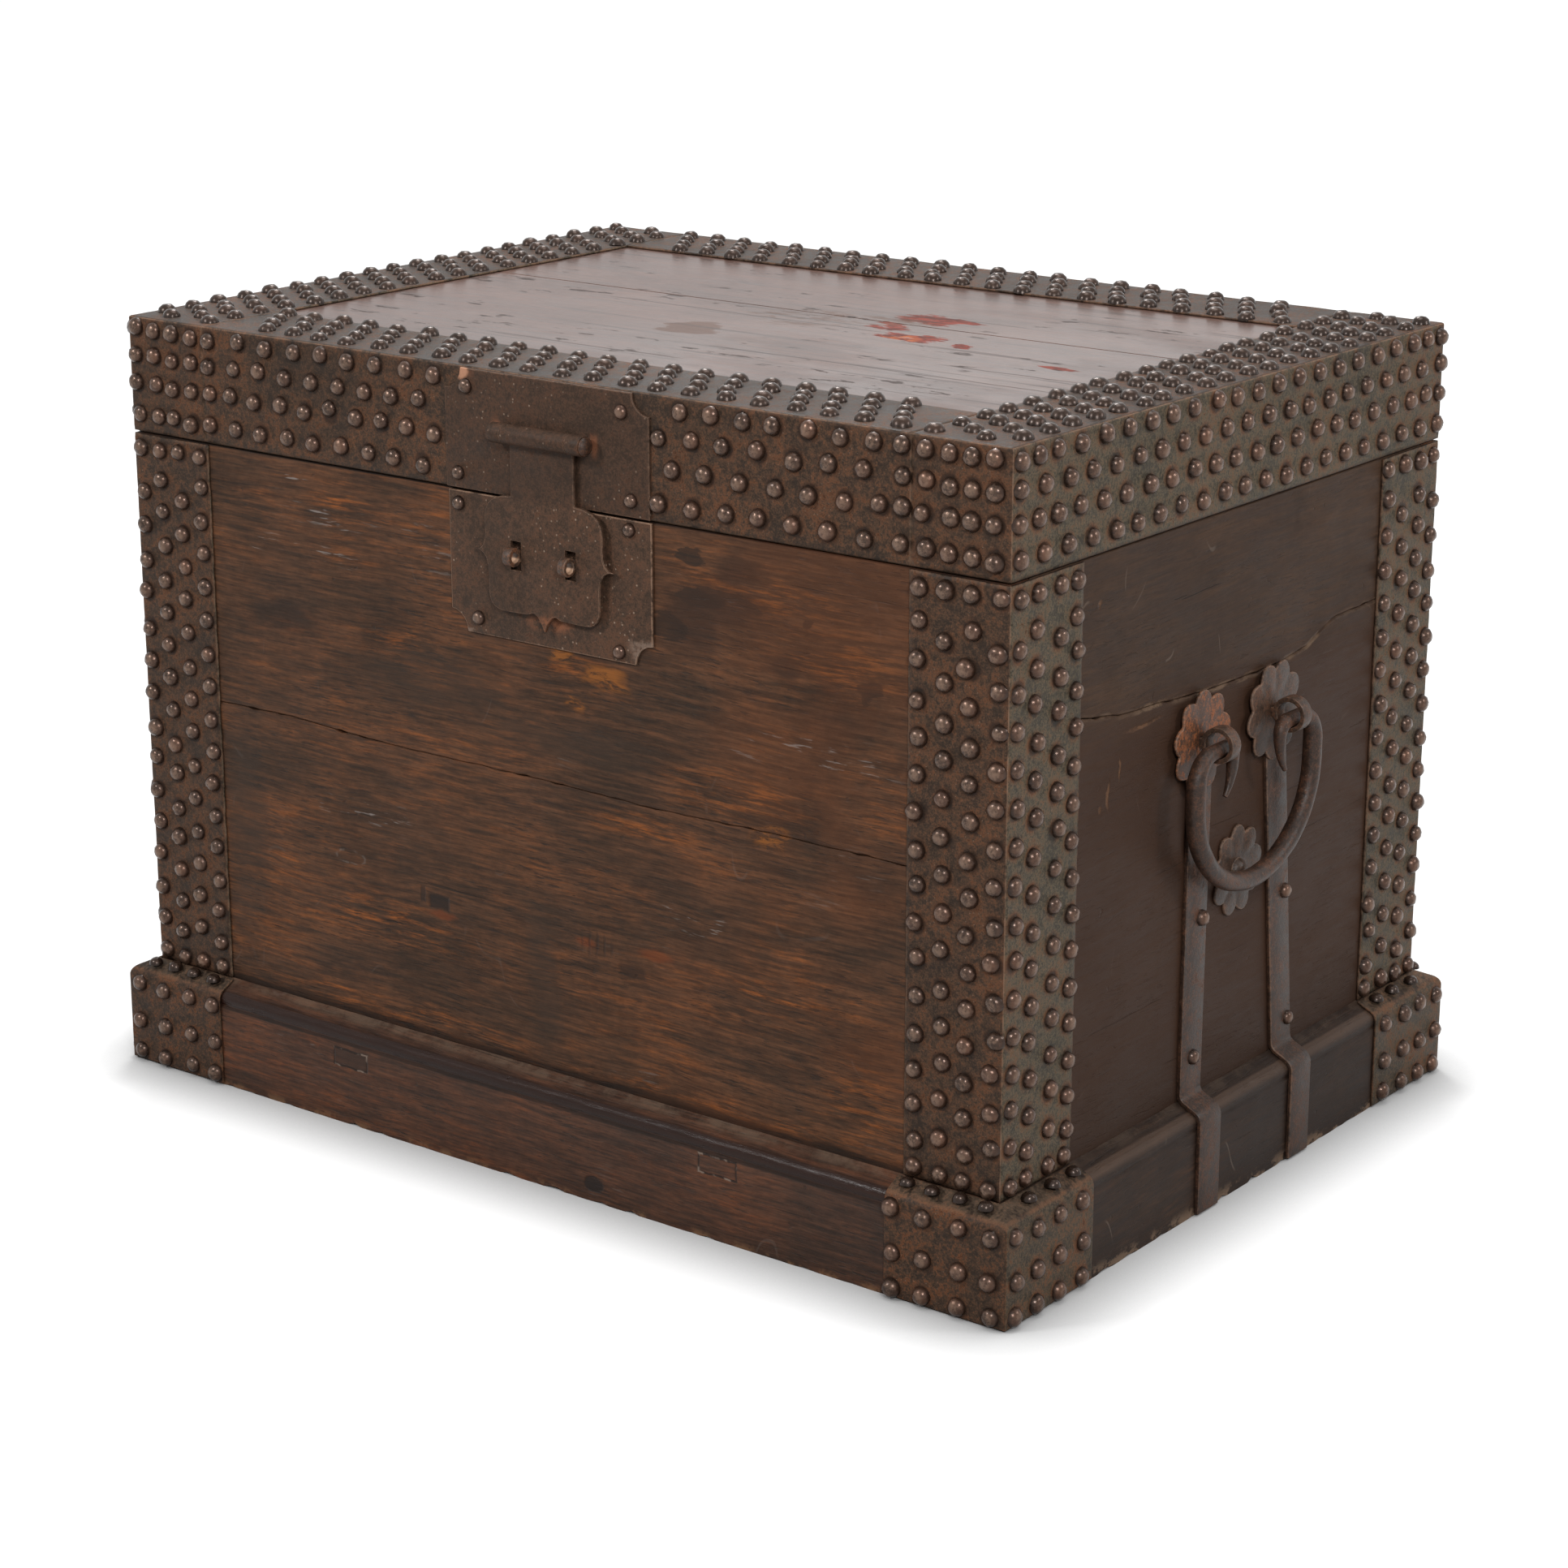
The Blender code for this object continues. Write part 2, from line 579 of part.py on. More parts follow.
def strap_shape(side, top_y, splay):
    # Flat strap down the end wall, bent out over the plinth's bead and down its face
    head = (0, HANDLE_Z + STRAP_HEAD)
    crook = (0, PLINTH_H + CLEAR)
    bead = bead_run(0, crook)[::-1]
    run = [head] + rounded(head, crook, bead[1], STRAP_BEND_R, MOULD_STEPS) + bead[1:]
    run.append((PLINTH_OUT, STRAP_FOOT))
    rings = []
    for near, far in zip(offset(run, CLEAR), offset(run, CLEAR + STRAP_T)):
        ring = []
        for (u, z), edge in ((near, -1), (near, 1), (far, 1), (far, -1)):
            fall = min((head[1] - z) / (head[1] - crook[1]), 1)
            ring.append((side * (WOOD_X + u), top_y + splay * fall + edge * STRAP_W / 2, z))
        rings.append(ring)
    return loft(rings)


def bail_path():
    # Half of the bail from the middle of its grip to the tip of its hook, with the rod's radii
    half = BAIL_W / 2
    grip = []
    for i in range(BAIL_SIDES):
        t = math.pi / 2 * i / BAIL_SIDES
        grip.append((half * math.sin(t), -BAIL_CROWN - (BAIL_DROP - BAIL_CROWN) * math.cos(t)))
    grip.append((half, -BAIL_CROWN))
    turn = arc((half - BAIL_TURN_R, -BAIL_TURN_R), BAIL_TURN_R, 0, math.pi / 2, MOULD_STEPS)
    hook_y = (EYE_GAP - EYE_T) / 2 - HOOK_GAP
    hook = arc((hook_y, -HOOK_TURN_R), HOOK_TURN_R, math.pi / 2, math.pi, MOULD_STEPS)
    last = hook[-1]
    tip = curve(last, (last[0], (last[1] - HOOK_L) / 2), (hook_y - HOOK_TURN_R + HOOK_GAP, -HOOK_L))
    radii = [BAIL_R] * len(grip)
    radii += [BAIL_R + (BAIL_EYE_R - BAIL_R) * i / MOULD_STEPS for i in range(MOULD_STEPS + 1)]
    taper = len(hook) + len(tip)
    radii += [BAIL_EYE_R + (BAIL_TIP_R - BAIL_EYE_R) * i / (taper - 1) for i in range(taper)]
    return grip + turn + hook + tip, radii


def make_handles(root):
    path, radii = bail_path()
    path = [(-y, z) for y, z in path[:0:-1]] + path
    radii = radii[:0:-1] + radii
    straps = (("front", EYE_YS[0], -STRAP_FRONT_SPLAY), ("back", EYE_YS[1], STRAP_BACK_SPLAY))
    outer = EYE_BORE_R + EYE_BAND
    for end, side in (("left", -1), ("right", 1)):
        for name, y, splay in straps:
            shape = strap_shape(side, y + STRAP_SHIFT, splay)
            piece(f"{end}_strap_{name}", FORGED_IRON, shape, root, cuts=[eye_hole(side, y)])
            turn = math.pi / 2 if name == "front" else math.pi / 2 + math.pi / ROSETTE_LOBES
            flower = plate(lobed((y, HANDLE_Z), ROSETTE_R, turn), "x", side * (WOOD_X + ROSETTE_BACK),
                           side * (WOOD_X + ROSETTE_FACE), ROSETTE_EDGE)
            piece(f"{end}_rosette_{name}", RUSTED_IRON, flower, root, cuts=[eye_hole(side, y)])
            section = [(side * (WOOD_X + d), z) for d, z in split_pin(EYE_OUT, HANDLE_Z, outer, EYE_STEM)]
            ring = prism(section, "y", y - EYE_T / 2, y + EYE_T / 2)
            eye = rod("y", (side * (WOOD_X + EYE_OUT), HANDLE_Z), EYE_BORE_R, y - EYE_T, y + EYE_T)
            piece(f"{end}_eye_{name}", FORGED_IRON, ring, root, cuts=[eye])

        centre = (STRIKE_Y, HANDLE_Z - STRIKE_DROP)
        face = WOOD_X + CLEAR + ROSETTE_T
        flower = plate(lobed(centre, STRIKE_R, math.pi / 2), "x",
                       side * (WOOD_X + CLEAR), side * face, ROSETTE_EDGE)
        boss = dome("x", centre, STRIKE_DOME_R,
                    side * (face - ROSETTE_T / 2), side * (face + STRIKE_DOME_H))
        piece(f"{end}_strike_rosette", RUSTED_IRON, flower, root, joins=[boss])

        axis = pivot_at(f"{end}_bail_axis", (side * (WOOD_X + EYE_OUT), 0, BAIL_Z), root)
        bail = tube(path, radii, lambda p, deep: (side * (WOOD_X + EYE_OUT) + deep, p.x, BAIL_Z + p.y))
        piece(f"{end}_bail", FORGED_IRON, bail, axis)


def make_hinges(root, lid_axis):
    inner = BODY_D / 2 + CLEAR
    gap = KNUCKLE_R + CLEAR
    for name, side in (("left", -1), ("right", 1)):
        x = side * HINGE_X
        left, right = x - HINGE_W / 2, x + HINGE_W / 2
        middle = KNUCKLE_MID / 2
        low = notched(left, right, HINGE_Z - gap, HINGE_Z - HINGE_LEAF_H, HINGE_NOTCH)
        leaf = prism(low, "y", WOOD_Y + CLEAR, inner + HINGE_LEAF_T)
        welds = []
        for near, far in ((left, x - middle - CLEAR), (x + middle + CLEAR, right)):
            welds.append(block((near, inner, HINGE_Z - gap - CLEAR), (far, inner + HINGE_LEAF_T, HINGE_Z)))
            welds.append(rod("x", (HINGE_Y, HINGE_Z), KNUCKLE_R, near, far))
        drill = rod("x", (HINGE_Y, HINGE_Z), HINGE_PIN_R + CLEAR, left - CLEAR, right + CLEAR)
        piece(f"hinge_{name}_body_leaf", FORGED_IRON, leaf, root, joins=welds, cuts=[drill])

        high = notched(left, right, HINGE_Z + gap, HINGE_Z + HINGE_LEAF_H, HINGE_NOTCH)
        leaf = prism(high, "y", inner, inner + HINGE_LEAF_T)
        tongue = block((x - middle, inner, HINGE_Z),
                       (x + middle, inner + HINGE_LEAF_T, HINGE_Z + gap + CLEAR))
        welds = [tongue, rod("x", (HINGE_Y, HINGE_Z), KNUCKLE_R, x - middle, x + middle)]
        drill = rod("x", (HINGE_Y, HINGE_Z), HINGE_PIN_R + CLEAR, left - CLEAR, right + CLEAR)
        piece(f"hinge_{name}_lid_leaf", FORGED_IRON, leaf, lid_axis, joins=welds, cuts=[drill])
        pin = rod("x", (HINGE_Y, HINGE_Z), HINGE_PIN_R, left, right)
        piece(f"hinge_{name}_pin", FORGED_IRON, pin, root)


def main():
    for old in list(bpy.data.objects):
        bpy.data.objects.remove(old)
    root = pivot_at("chest_root", (0, 0, 0))
    lid_axis = pivot_at("lid_axis", (0, HINGE_Y, HINGE_Z), root)
    make_walls(root)
    make_plinth(root)
    make_corner_irons(root)
    make_lid(lid_axis)
    make_lock(root, lid_axis)
    make_handles(root)
    make_hinges(root, lid_axis)


main()
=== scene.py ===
import json
import math
import random

import bmesh
import bpy
from mathutils import Matrix, Vector, kdtree, noise

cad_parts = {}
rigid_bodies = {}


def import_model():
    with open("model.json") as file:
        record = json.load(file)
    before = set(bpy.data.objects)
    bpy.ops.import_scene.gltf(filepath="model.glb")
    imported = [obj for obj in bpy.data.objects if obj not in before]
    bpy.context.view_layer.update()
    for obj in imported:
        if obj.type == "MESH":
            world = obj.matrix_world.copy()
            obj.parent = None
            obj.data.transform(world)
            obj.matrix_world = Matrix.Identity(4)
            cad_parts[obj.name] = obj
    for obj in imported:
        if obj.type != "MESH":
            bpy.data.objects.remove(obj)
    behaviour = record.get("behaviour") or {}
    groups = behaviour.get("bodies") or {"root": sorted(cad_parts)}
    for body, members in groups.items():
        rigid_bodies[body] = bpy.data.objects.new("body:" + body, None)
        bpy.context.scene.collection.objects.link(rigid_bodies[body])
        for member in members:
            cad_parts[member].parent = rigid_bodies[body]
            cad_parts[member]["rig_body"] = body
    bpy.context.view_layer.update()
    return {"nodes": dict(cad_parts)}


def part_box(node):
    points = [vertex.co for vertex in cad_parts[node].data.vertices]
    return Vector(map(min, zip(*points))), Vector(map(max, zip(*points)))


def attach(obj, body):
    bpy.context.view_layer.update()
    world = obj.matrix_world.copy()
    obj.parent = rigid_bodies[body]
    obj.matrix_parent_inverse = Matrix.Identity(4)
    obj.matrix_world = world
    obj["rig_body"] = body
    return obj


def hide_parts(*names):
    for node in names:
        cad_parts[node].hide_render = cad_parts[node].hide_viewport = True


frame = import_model()
nodes = frame["nodes"]
dice = random.Random(1731)
ironHigh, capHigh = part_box("lid_binding_right")[1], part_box("plinth_cap_back_right")[1]
# half sizes over the iron, and the lid's top
half = {"x": ironHigh.x, "y": ironHigh.y, "top": ironHigh.z, "plinthX": capHigh.x, "plinthY": capHigh.y}
scene = bpy.context.scene


# camera at the photograph's angle, no shift
camView = {"place": (1.658, -2.1693, 1.0661), "azimuth": 37.375, "elevation": 17.007,
           "lens": 84.56, "sensor": 36}
camera = bpy.data.objects.new("camera", bpy.data.cameras.new("camera"))
camera.location = camView["place"]
camera.rotation_euler = (math.radians(90 - camView["elevation"]), 0, math.radians(camView["azimuth"]))
camera.data.lens = camView["lens"]
camera.data.sensor_width = camView["sensor"]
scene.collection.objects.link(camera)
scene.camera = camera
scene.view_settings.view_transform = "Standard"
print("camera set")


def tint(red, green, blue):
    # a colour as it looks on a screen, 0 to 255, made linear
    def straight(value):
        value = value / 255
        return value / 12.92 if value < 0.04045 else ((value + 0.055) / 1.055) ** 2.4
    return (straight(red), straight(green), straight(blue), 1)


class Wire:
    # one output socket; maths on it adds Math nodes
    def __init__(self, graph, socket):
        self.graph = graph
        self.socket = socket

    def calc(self, operation, first, second):
        return self.graph.add("ShaderNodeMath", {"operation": operation}, {0: first, 1: second})

    def __add__(self, other):
        return self.calc("ADD", self, other)

    def __radd__(self, other):
        return self.calc("ADD", other, self)

    def __sub__(self, other):
        return self.calc("SUBTRACT", self, other)

    def __rsub__(self, other):
        return self.calc("SUBTRACT", other, self)

    def __mul__(self, other):
        return self.calc("MULTIPLY", self, other)

    def __rmul__(self, other):
        return self.calc("MULTIPLY", other, self)

    def __or__(self, other):  # the larger of two masks
        return self.calc("MAXIMUM", self, other)

    def __abs__(self):
        return self.calc("ABSOLUTE", self, 0)

    def ramp(self, low, high):
        # smooth step from low to high
        sockets = {"Value": self, "From Min": low, "From Max": high}
        return self.graph.add("ShaderNodeMapRange", {"interpolation_type": "SMOOTHSTEP"}, sockets)

    def band(self, rise, fall):
        # up over one stretch, down again over another
        return self.ramp(*rise) * (1 - self.ramp(*fall))

    def thread(self, level, width):
        # a thin line where a value passes a level
        return 1 - abs(self - level).ramp(width * 0.4, width)


class Graph:
    # a node tree whose nodes all come from add()
    def __init__(self, tree):
        self.tree = tree

    def add(self, kind, settings, sockets, output=0):
        node = self.tree.nodes.new(kind)
        for key, value in settings.items():
            setattr(node, key, value)
        for key, value in sockets.items():
            self.join(node.inputs[key], value)
        return Wire(self, node.outputs[output])

    def join(self, socket, value):
        if isinstance(value, Wire):
            self.tree.links.new(value.socket, socket)
        else:
            socket.default_value = value

    def seen(self):
        # 1 where the camera, a gloss or a clear surface looks straight at something
        straight, glossy, clear = (self.add("ShaderNodeLightPath", {}, {}, f"Is {kind} Ray")
                                   for kind in ("Camera", "Glossy", "Transmission"))
        return straight | glossy | clear


# the faces that carry marks: axis across the face, level on it
markFaces = {"front": (1, -half["y"]), "plinth": (1, -half["plinthY"]), "end": (0, half["x"]),
             "top": (2, half["top"])}


class Finish(Graph):
    # one material on a Principled shader; coats of colour are laid over self.colour
    def __init__(self, name, **constants):
        self.material = bpy.data.materials.new(name)
        self.material.use_nodes = True
        super().__init__(self.material.node_tree)
        self.shader = self.tree.nodes["Principled BSDF"]
        self.feed(**constants)
        self.place = self.add("ShaderNodeTexCoord", {}, {}, "Object")

    def feed(self, **wires):
        for name, wire in wires.items():
            self.join(self.shader.inputs[name.replace("_", " ")], wire)

    def mapped(self, vector, shift, stretch=(1, 1, 1), way="POINT"):
        sockets = {"Vector": vector, "Location": shift, "Scale": stretch}
        return self.add("ShaderNodeMapping", {"vector_type": way}, sockets)

    def cloud(self, vector, stretch, shift=(0, 0, 0), detail=4, rough=0.55):
        # noise around 0.5, with so many waves to the metre each way
        sockets = {"Vector": self.mapped(vector, shift, stretch), "Scale": 1}
        return self.add("ShaderNodeTexNoise", {}, dict(sockets, Detail=detail, Roughness=rough))

    def cover(self, low, high, stretch, *more):
        # patches where a noise rises from low to high
        return self.cloud(self.place, stretch, *more).ramp(low, high)

    def mix(self, mask, first, second, way="MIX"):
        settings = {"data_type": "RGBA", "blend_type": way}
        return self.add("ShaderNodeMix", settings, {0: mask, 6: first, 7: second}, 2)

    def lay(self, mask, coat, way="MIX"):
        self.colour = self.mix(mask, self.colour, coat, way)

    def axes(self, vector):
        return [self.add("ShaderNodeSeparateXYZ", {}, {0: vector}, i) for i in range(3)]

    def facing(self):
        return self.axes(self.add("ShaderNodeTexCoord", {}, {}, "Normal"))

    def push(self, operation, first, second):
        return self.add("ShaderNodeVectorMath", {"operation": operation}, {0: first, 1: second})

    def far(self, vector):
        return self.add("ShaderNodeVectorMath", {"operation": "LENGTH"}, {0: vector}, "Value")

    def warp(self, vector, stretch, size, shift=(0, 0, 0)):
        # pushes a vector about by a soft noise
        sockets = {"Vector": self.mapped(vector, shift, stretch), "Scale": 1, "Detail": 3}
        sway = self.add("ShaderNodeTexNoise", {}, sockets, "Color")
        sway = self.push("MULTIPLY", self.push("SUBTRACT", sway, (0.5, 0.5, 0.5)), size)
        return self.push("ADD", vector, sway)

    def onFace(self, vector, face, mark):
        # a vector measured from a mark on a face: two places, then two half widths
        axis, level = markFaces[face]
        centre, size = list(mark[:2]), list(mark[2:])
        centre.insert(axis, level)
        size.insert(axis, 1)
        return self.mapped(vector, centre, size, "TEXTURE")

    def blot(self, vector, face, mark, edge=0.35):
        # 1 inside an ellipse, fading to 0 outside it
        return 1 - self.far(self.onFace(vector, face, mark)).ramp(edge, 1)

    def blots(self, vector, face, marks, edge=0.35):
        whole = self.blot(vector, face, marks[0], edge)
        for mark in marks[1:]:
            whole = whole | self.blot(vector, face, mark, edge)
        return whole

    def slab(self, vector, face, mark, edge):
        # 1 inside a rectangle in x and z
        x, y, z = self.axes(self.onFace(vector, face, mark))
        return 1 - (abs(x) | abs(z)).ramp(edge, 1)

    def bump(self, height, distance):
        return self.add("ShaderNodeBump", {}, {"Height": height, "Distance": distance})

    def speckle(self, vector, scale, shift):
        # distance to scattered points, for dust and knocks
        sockets = {"Vector": self.mapped(vector, shift), "Scale": scale, "Randomness": 1.0}
        return self.add("ShaderNodeTexVoronoi", {}, sockets, "Distance")

    def stored(self, name):
        return self.add("ShaderNodeAttribute", {"attribute_name": name}, {}, "Fac")


# studio: pale floor that keeps the lamps' shadow, its glow dimmed by occlusion round the chest as a painted
# contact shadow; white surroundings, soft lamps
studio = {"sky": 0.13, "floorSize": 14, "floorTone": 0.34, "floorGlow": 0.80, "floorFar": (0.7, 1.8),
          "contact": 0.07}
lamps = [  # place, aim, size, watts
    ((-1.3, -2.4, 2.2), (-0.1, -0.2, 0.3), 0.5, 42),
    ((2.1, -2.1, 1.9), (0.1, -0.1, 0.3), 0.6, 56),
    ((2.6, 1.1, 1.9), (0.3, 0.0, 0.3), 0.5, 24),
    ((0.1, 0.2, 2.7), (0.0, 0.0, 0.5), 1.2, 22),
    ((-1.3, 1.4, 2.9), (-0.2, 0.1, 0.3), 0.8, 52),
]


def makeStudio():
    world = bpy.data.worlds.new("studio")
    scene.world = world
    world.use_nodes = True
    sky = Graph(world.node_tree)
    back = world.node_tree.nodes["Background"]
    back.inputs["Color"].default_value = (1, 1, 1, 1)
    sky.join(back.inputs["Strength"], sky.seen() * (1 - studio["sky"]) + studio["sky"])

    bm = bmesh.new()
    bmesh.ops.create_grid(bm, x_segments=1, y_segments=1, size=studio["floorSize"])
    mesh = bpy.data.meshes.new("floor")
    bm.to_mesh(mesh)
    bm.free()
    floor = bpy.data.objects.new("floor", mesh)
    scene.collection.objects.link(floor)
    pale = Finish("floor_pale", Roughness=1.0, Specular_IOR_Level=0.0, Emission_Strength=1.0,
                  Base_Color=(studio["floorTone"],) * 3 + (1,))
    glow = pale.far(pale.place).ramp(*studio["floorFar"]) * (1 - studio["floorGlow"]) + studio["floorGlow"]
    # the glow fades where the floor is occluded: a painted contact shadow round the chest's foot
    clear = pale.add("ShaderNodeAmbientOcclusion", {"samples": 12}, {"Distance": studio["contact"]}, "AO")
    pale.feed(Emission_Color=pale.mix(pale.seen() * glow * clear * clear, (0, 0, 0, 1), (1, 1, 1, 1)))
    mesh.materials.append(pale.material)


def makeLamps():
    for i, (place, aim, size, watts) in enumerate(lamps):
        light = bpy.data.lights.new(f"softbox_{i}", "AREA")
        light.size = size
        light.energy = watts
        lamp = bpy.data.objects.new(light.name, light)
        lamp.location = place
        lamp.rotation_euler = (Vector(aim) - Vector(place)).to_track_quat("-Z", "Y").to_euler()
        scene.collection.objects.link(lamp)


makeStudio()
makeLamps()
print("studio lit")


# wood: grain runs along one axis, with worn, stained and rubbed places listed one by one
grains = {  # waves to the metre along and across, shift, detail, roughness
    "fibre": (40, 640, 1.0, 4, 0.65), "streak": (20, 300, 4.0, 5, 0.68), "patch": (5.5, 14, 7.0, 8, 0.68),
    "worn": (24, 230, 11.0, 7, 0.74), "tick": (40, 420, 17.0, 3, 0.55), "tickField": (6, 14, 23.0, 2, 0.55),
    "split": (3.2, 330, 31.0, 2, 0.55), "pore": (62, 560, 41.0, 2, 0.55), "poreField": (9, 20, 43.0, 2, 0.55),
}
dryWood = {  # reach: where the inside ends in x, y and z
    "reach": ((0.3765, 0.3775), (0.2625, 0.2635), (0.575, 0.577)),
    "dark": tint(72, 56, 44), "light": tint(104, 82, 64)}
lidGap = {  # where the painted shade under the lid begins on a board and on a sheet, and where it ends
    "board": (0.5042, 0.5050), "sheet": (0.5044, 0.5052), "lid": (0.5070, 0.5077), "black": tint(16, 13, 12)}


def woodFinish(name, look):
    wood = Finish(name, Specular_IOR_Level=look["gloss"], Coat_Roughness=look.get("coatRough", 0.3))
    seed = look["seed"]
    bent = wood.warp(wood.place, (5, 5, 5), (0.014, 0.014, 0.014), (seed, 0, 0))
    wood.torn = wood.warp(wood.place, look["torn"], (0.030, 0.030, 0.018), (0, seed, 0))

    def grain(kind):
        length, width, shift, detail, rough = grains[kind]
        stretch = [width] * 3
        stretch[look["along"]] = length
        return wood.cloud(bent, stretch, (shift, seed, shift), detail, rough)

    def withSpots(mask, kind, edge, strength):
        # listed places join the scattered ones
        if look.get(kind):
            mask = mask | wood.blots(wood.torn, look["face"], look[kind], edge) * strength
        return mask

    fibre, streak, patch, worn = (grain(kind) for kind in ("fibre", "streak", "patch", "worn"))
    pore = grain("pore").ramp(0.58, 0.68) * grain("poreField").ramp(0.36, 0.60)
    soil = wood.cloud(wood.place, (10, 10, 12), (seed, 2, 5), 7, 0.68)
    wood.colour = wood.mix((patch * 0.55 + streak * 0.45).ramp(0.38, 0.62), look["dark"], look["mid"])

    # bare orange wood shows in thin broken streaks
    bare = withSpots(patch.ramp(0.44, 0.66) * look["wear"], "wornSpots", 0.1, 0.9)
    wood.lay(bare * (worn * 0.6 + fibre * 0.2 + streak * 0.2).ramp(0.47, 0.62), look["light"])

    # soot and polish gathered in clouds
    stain = withSpots(soil.ramp(0.52, 0.72) * look["soil"], "stainSpots", 0.35, 0.85)
    wood.lay(stain * (0.55 + 0.45 * streak.ramp(0.35, 0.6)), look["stain"])
    scuff = wood.cloud(wood.place, (170, 170, 240), (2, seed, 9), 4, 0.7)
    shade = (fibre * 0.40 + streak * 0.36 + scuff * 0.24).ramp(0.32, 0.66)
    shade = wood.mix(shade, (0.40, 0.38, 0.38, 1), (1.3, 1.3, 1.3, 1))
    wood.lay(look["grain"], shade, "MULTIPLY")

    # pale rubbed ticks along the grain, hair scratches across it
    spot = withSpots(grain("tickField").ramp(0.58, 0.74) * look["ticks"], "tickSpots", 0.2, 0.75)
    hair = wood.cloud(wood.place, (16, 16, 9), (seed, 5, 0), 1).thread(0.47, 0.006)
    hair = hair * wood.cover(0.60, 0.70, (26, 26, 26), (3, seed, 0), 2)
    tick = grain("tick").ramp(0.60, 0.70) * spot | hair * look["scratch"]
    wood.lay(pore * look["pores"], look["stain"])
    wood.lay(tick, look["pale"])

    # knocks and drying cracks
    knock = 1 - wood.speckle(wood.torn, look["knocks"], (seed, 0, 0)).ramp(0.03, 0.10)
    knock = knock * soil.ramp(0.44, 0.56)
    split = grain("split").ramp(0.72, 0.78)
    wood.lay((split | knock * 0.6) * 0.8, look["stain"])
    wood.height = fibre * 0.3 + streak * 0.5 + patch * 0.8
    wood.height -= pore * 0.4 + split * 0.9 + knock * 0.7 + tick * 0.25
    low, high = look["rough"]
    wood.rough = low + (high - low) * (streak * 0.5 + soil * 0.5).ramp(0.35, 0.65) + tick * 0.1
    wood.dull = split | knock | soil.ramp(0.46, 0.78) * 0.5
    if look.get("extra"):
        look["extra"](wood)

    # plain dry wood inside the chest
    inside = 1
    for part, reach in zip(wood.axes(wood.place), dryWood["reach"]):
        inside = (1 - abs(part).ramp(*reach)) * inside
    dry = wood.mix((patch * 0.5 + streak * 0.5).ramp(0.38, 0.62), dryWood["dark"], dryWood["light"])
    wood.lay(inside * 0.92, wood.mix(0.5, dry, shade, "MULTIPLY"))
    wood.feed(Base_Color=wood.colour, Normal=wood.bump(wood.height, look["relief"]), Roughness=wood.rough)
    if look.get("coat"):
        wood.feed(Coat_Weight=look["coat"] * (1 - (wood.dull | inside)))
    return wood.material


def frontMarks(wood):
    # let-in plugs, and the pale ring round a knot
    torn = wood.torn
    shaky = wood.warp(wood.place, (90, 90, 90), (0.005, 0.005, 0.005))
    for x, z, wide, tall, depth in ((-0.101, 0.190, 0.012, 0.0062, 0.85), (-0.117, 0.193, 0.003, 0.0075, 0.6),
                                    (0.083, 0.176, 0.014, 0.005, 0.5)):
        plug = wood.slab(shaky, "front", (x, z, wide, tall), 0.7) * depth
        wood.lay(plug, tint(36, 30, 27))
        wood.height -= plug
    for mark in ((-0.098, 0.181, 0.018, 0.004), (0.105, 0.193, 0.02, 0.006), (0.04, 0.190, 0.012, 0.005)):
        wood.lay(wood.blot(shaky, "front", mark, 0.4) * 0.55, tint(118, 62, 36))
    outer = wood.blot(shaky, "front", (-0.190, 0.208, 0.0165, 0.0068), 0.86)
    inner = wood.blot(shaky, "front", (-0.190, 0.208, 0.0145, 0.0054), 0.86)
    rub = wood.cover(0.42, 0.60, (150, 150, 150), (0, 3, 0), 2)
    wood.lay((outer - inner) * rub * 0.30, tint(134, 124, 116))
    # ochre wood bare under the lock, soot smeared beside it
    ochre = wood.blots(torn, "front", [(0.020, 0.400, 0.017, 0.011), (0.060, 0.388, 0.026, 0.010),
                                       (0.036, 0.364, 0.012, 0.006), (0.205, 0.300, 0.020, 0.014)], 0.4)
    broken = wood.cloud(torn, (34, 34, 130), (8, 1, 2), 6, 0.72).ramp(0.42, 0.56)
    wood.lay(ochre * broken * 0.8, tint(146, 90, 44))
    soot = wood.blots(torn, "front", [
        (0.150, 0.458, 0.034, 0.011), (0.186, 0.459, 0.022, 0.006), (0.140, 0.487, 0.016, 0.010),
        (0.120, 0.433, 0.024, 0.013), (0.290, 0.416, 0.018, 0.012), (0.236, 0.455, 0.008, 0.006)], 0.2)
    wood.lay((soot * 0.8 + broken * 0.3).ramp(0.42, 0.62) * 0.72, tint(38, 32, 28))
    # painted shade in the gap under the lid, and along the plinth where the board meets its slope
    level = wood.axes(wood.place)[2]
    grime = level.ramp(*lidGap["board"]) * 0.9 | (1 - level.ramp(0.0835, 0.0930)) * 0.8
    wood.lay(grime, lidGap["black"])
    # plane chatter in the lower board
    x = wood.axes(shaky)[0]
    wave = wood.add("ShaderNodeMath", {"operation": "SINE"}, {0: x * 900})
    chatter = wave.ramp(0.1, 0.9) * wood.blot(torn, "front", (0.050, 0.190, 0.026, 0.014), 0.3)
    wood.lay(chatter * 0.5, tint(42, 34, 30))
    wood.height -= chatter * 0.4
    # redder to the right, greyer where hands have wiped it
    warm = x.ramp(0.05, 0.26) * wood.cloud(torn, (9, 9, 14), (2, 0, 6), 3).ramp(0.36, 0.60)
    wood.lay(warm * 0.35, tint(100, 60, 38))
    dim = wood.blots(torn, "front", [(0.0, 0.15, 0.02, 0.09), (-0.30, 0.20, 0.03, 0.12),
                                     (-0.10, 0.36, 0.10, 0.03), (0.02, 0.335, 0.12, 0.022)])
    wood.lay(dim * 0.45, tint(56, 46, 39))


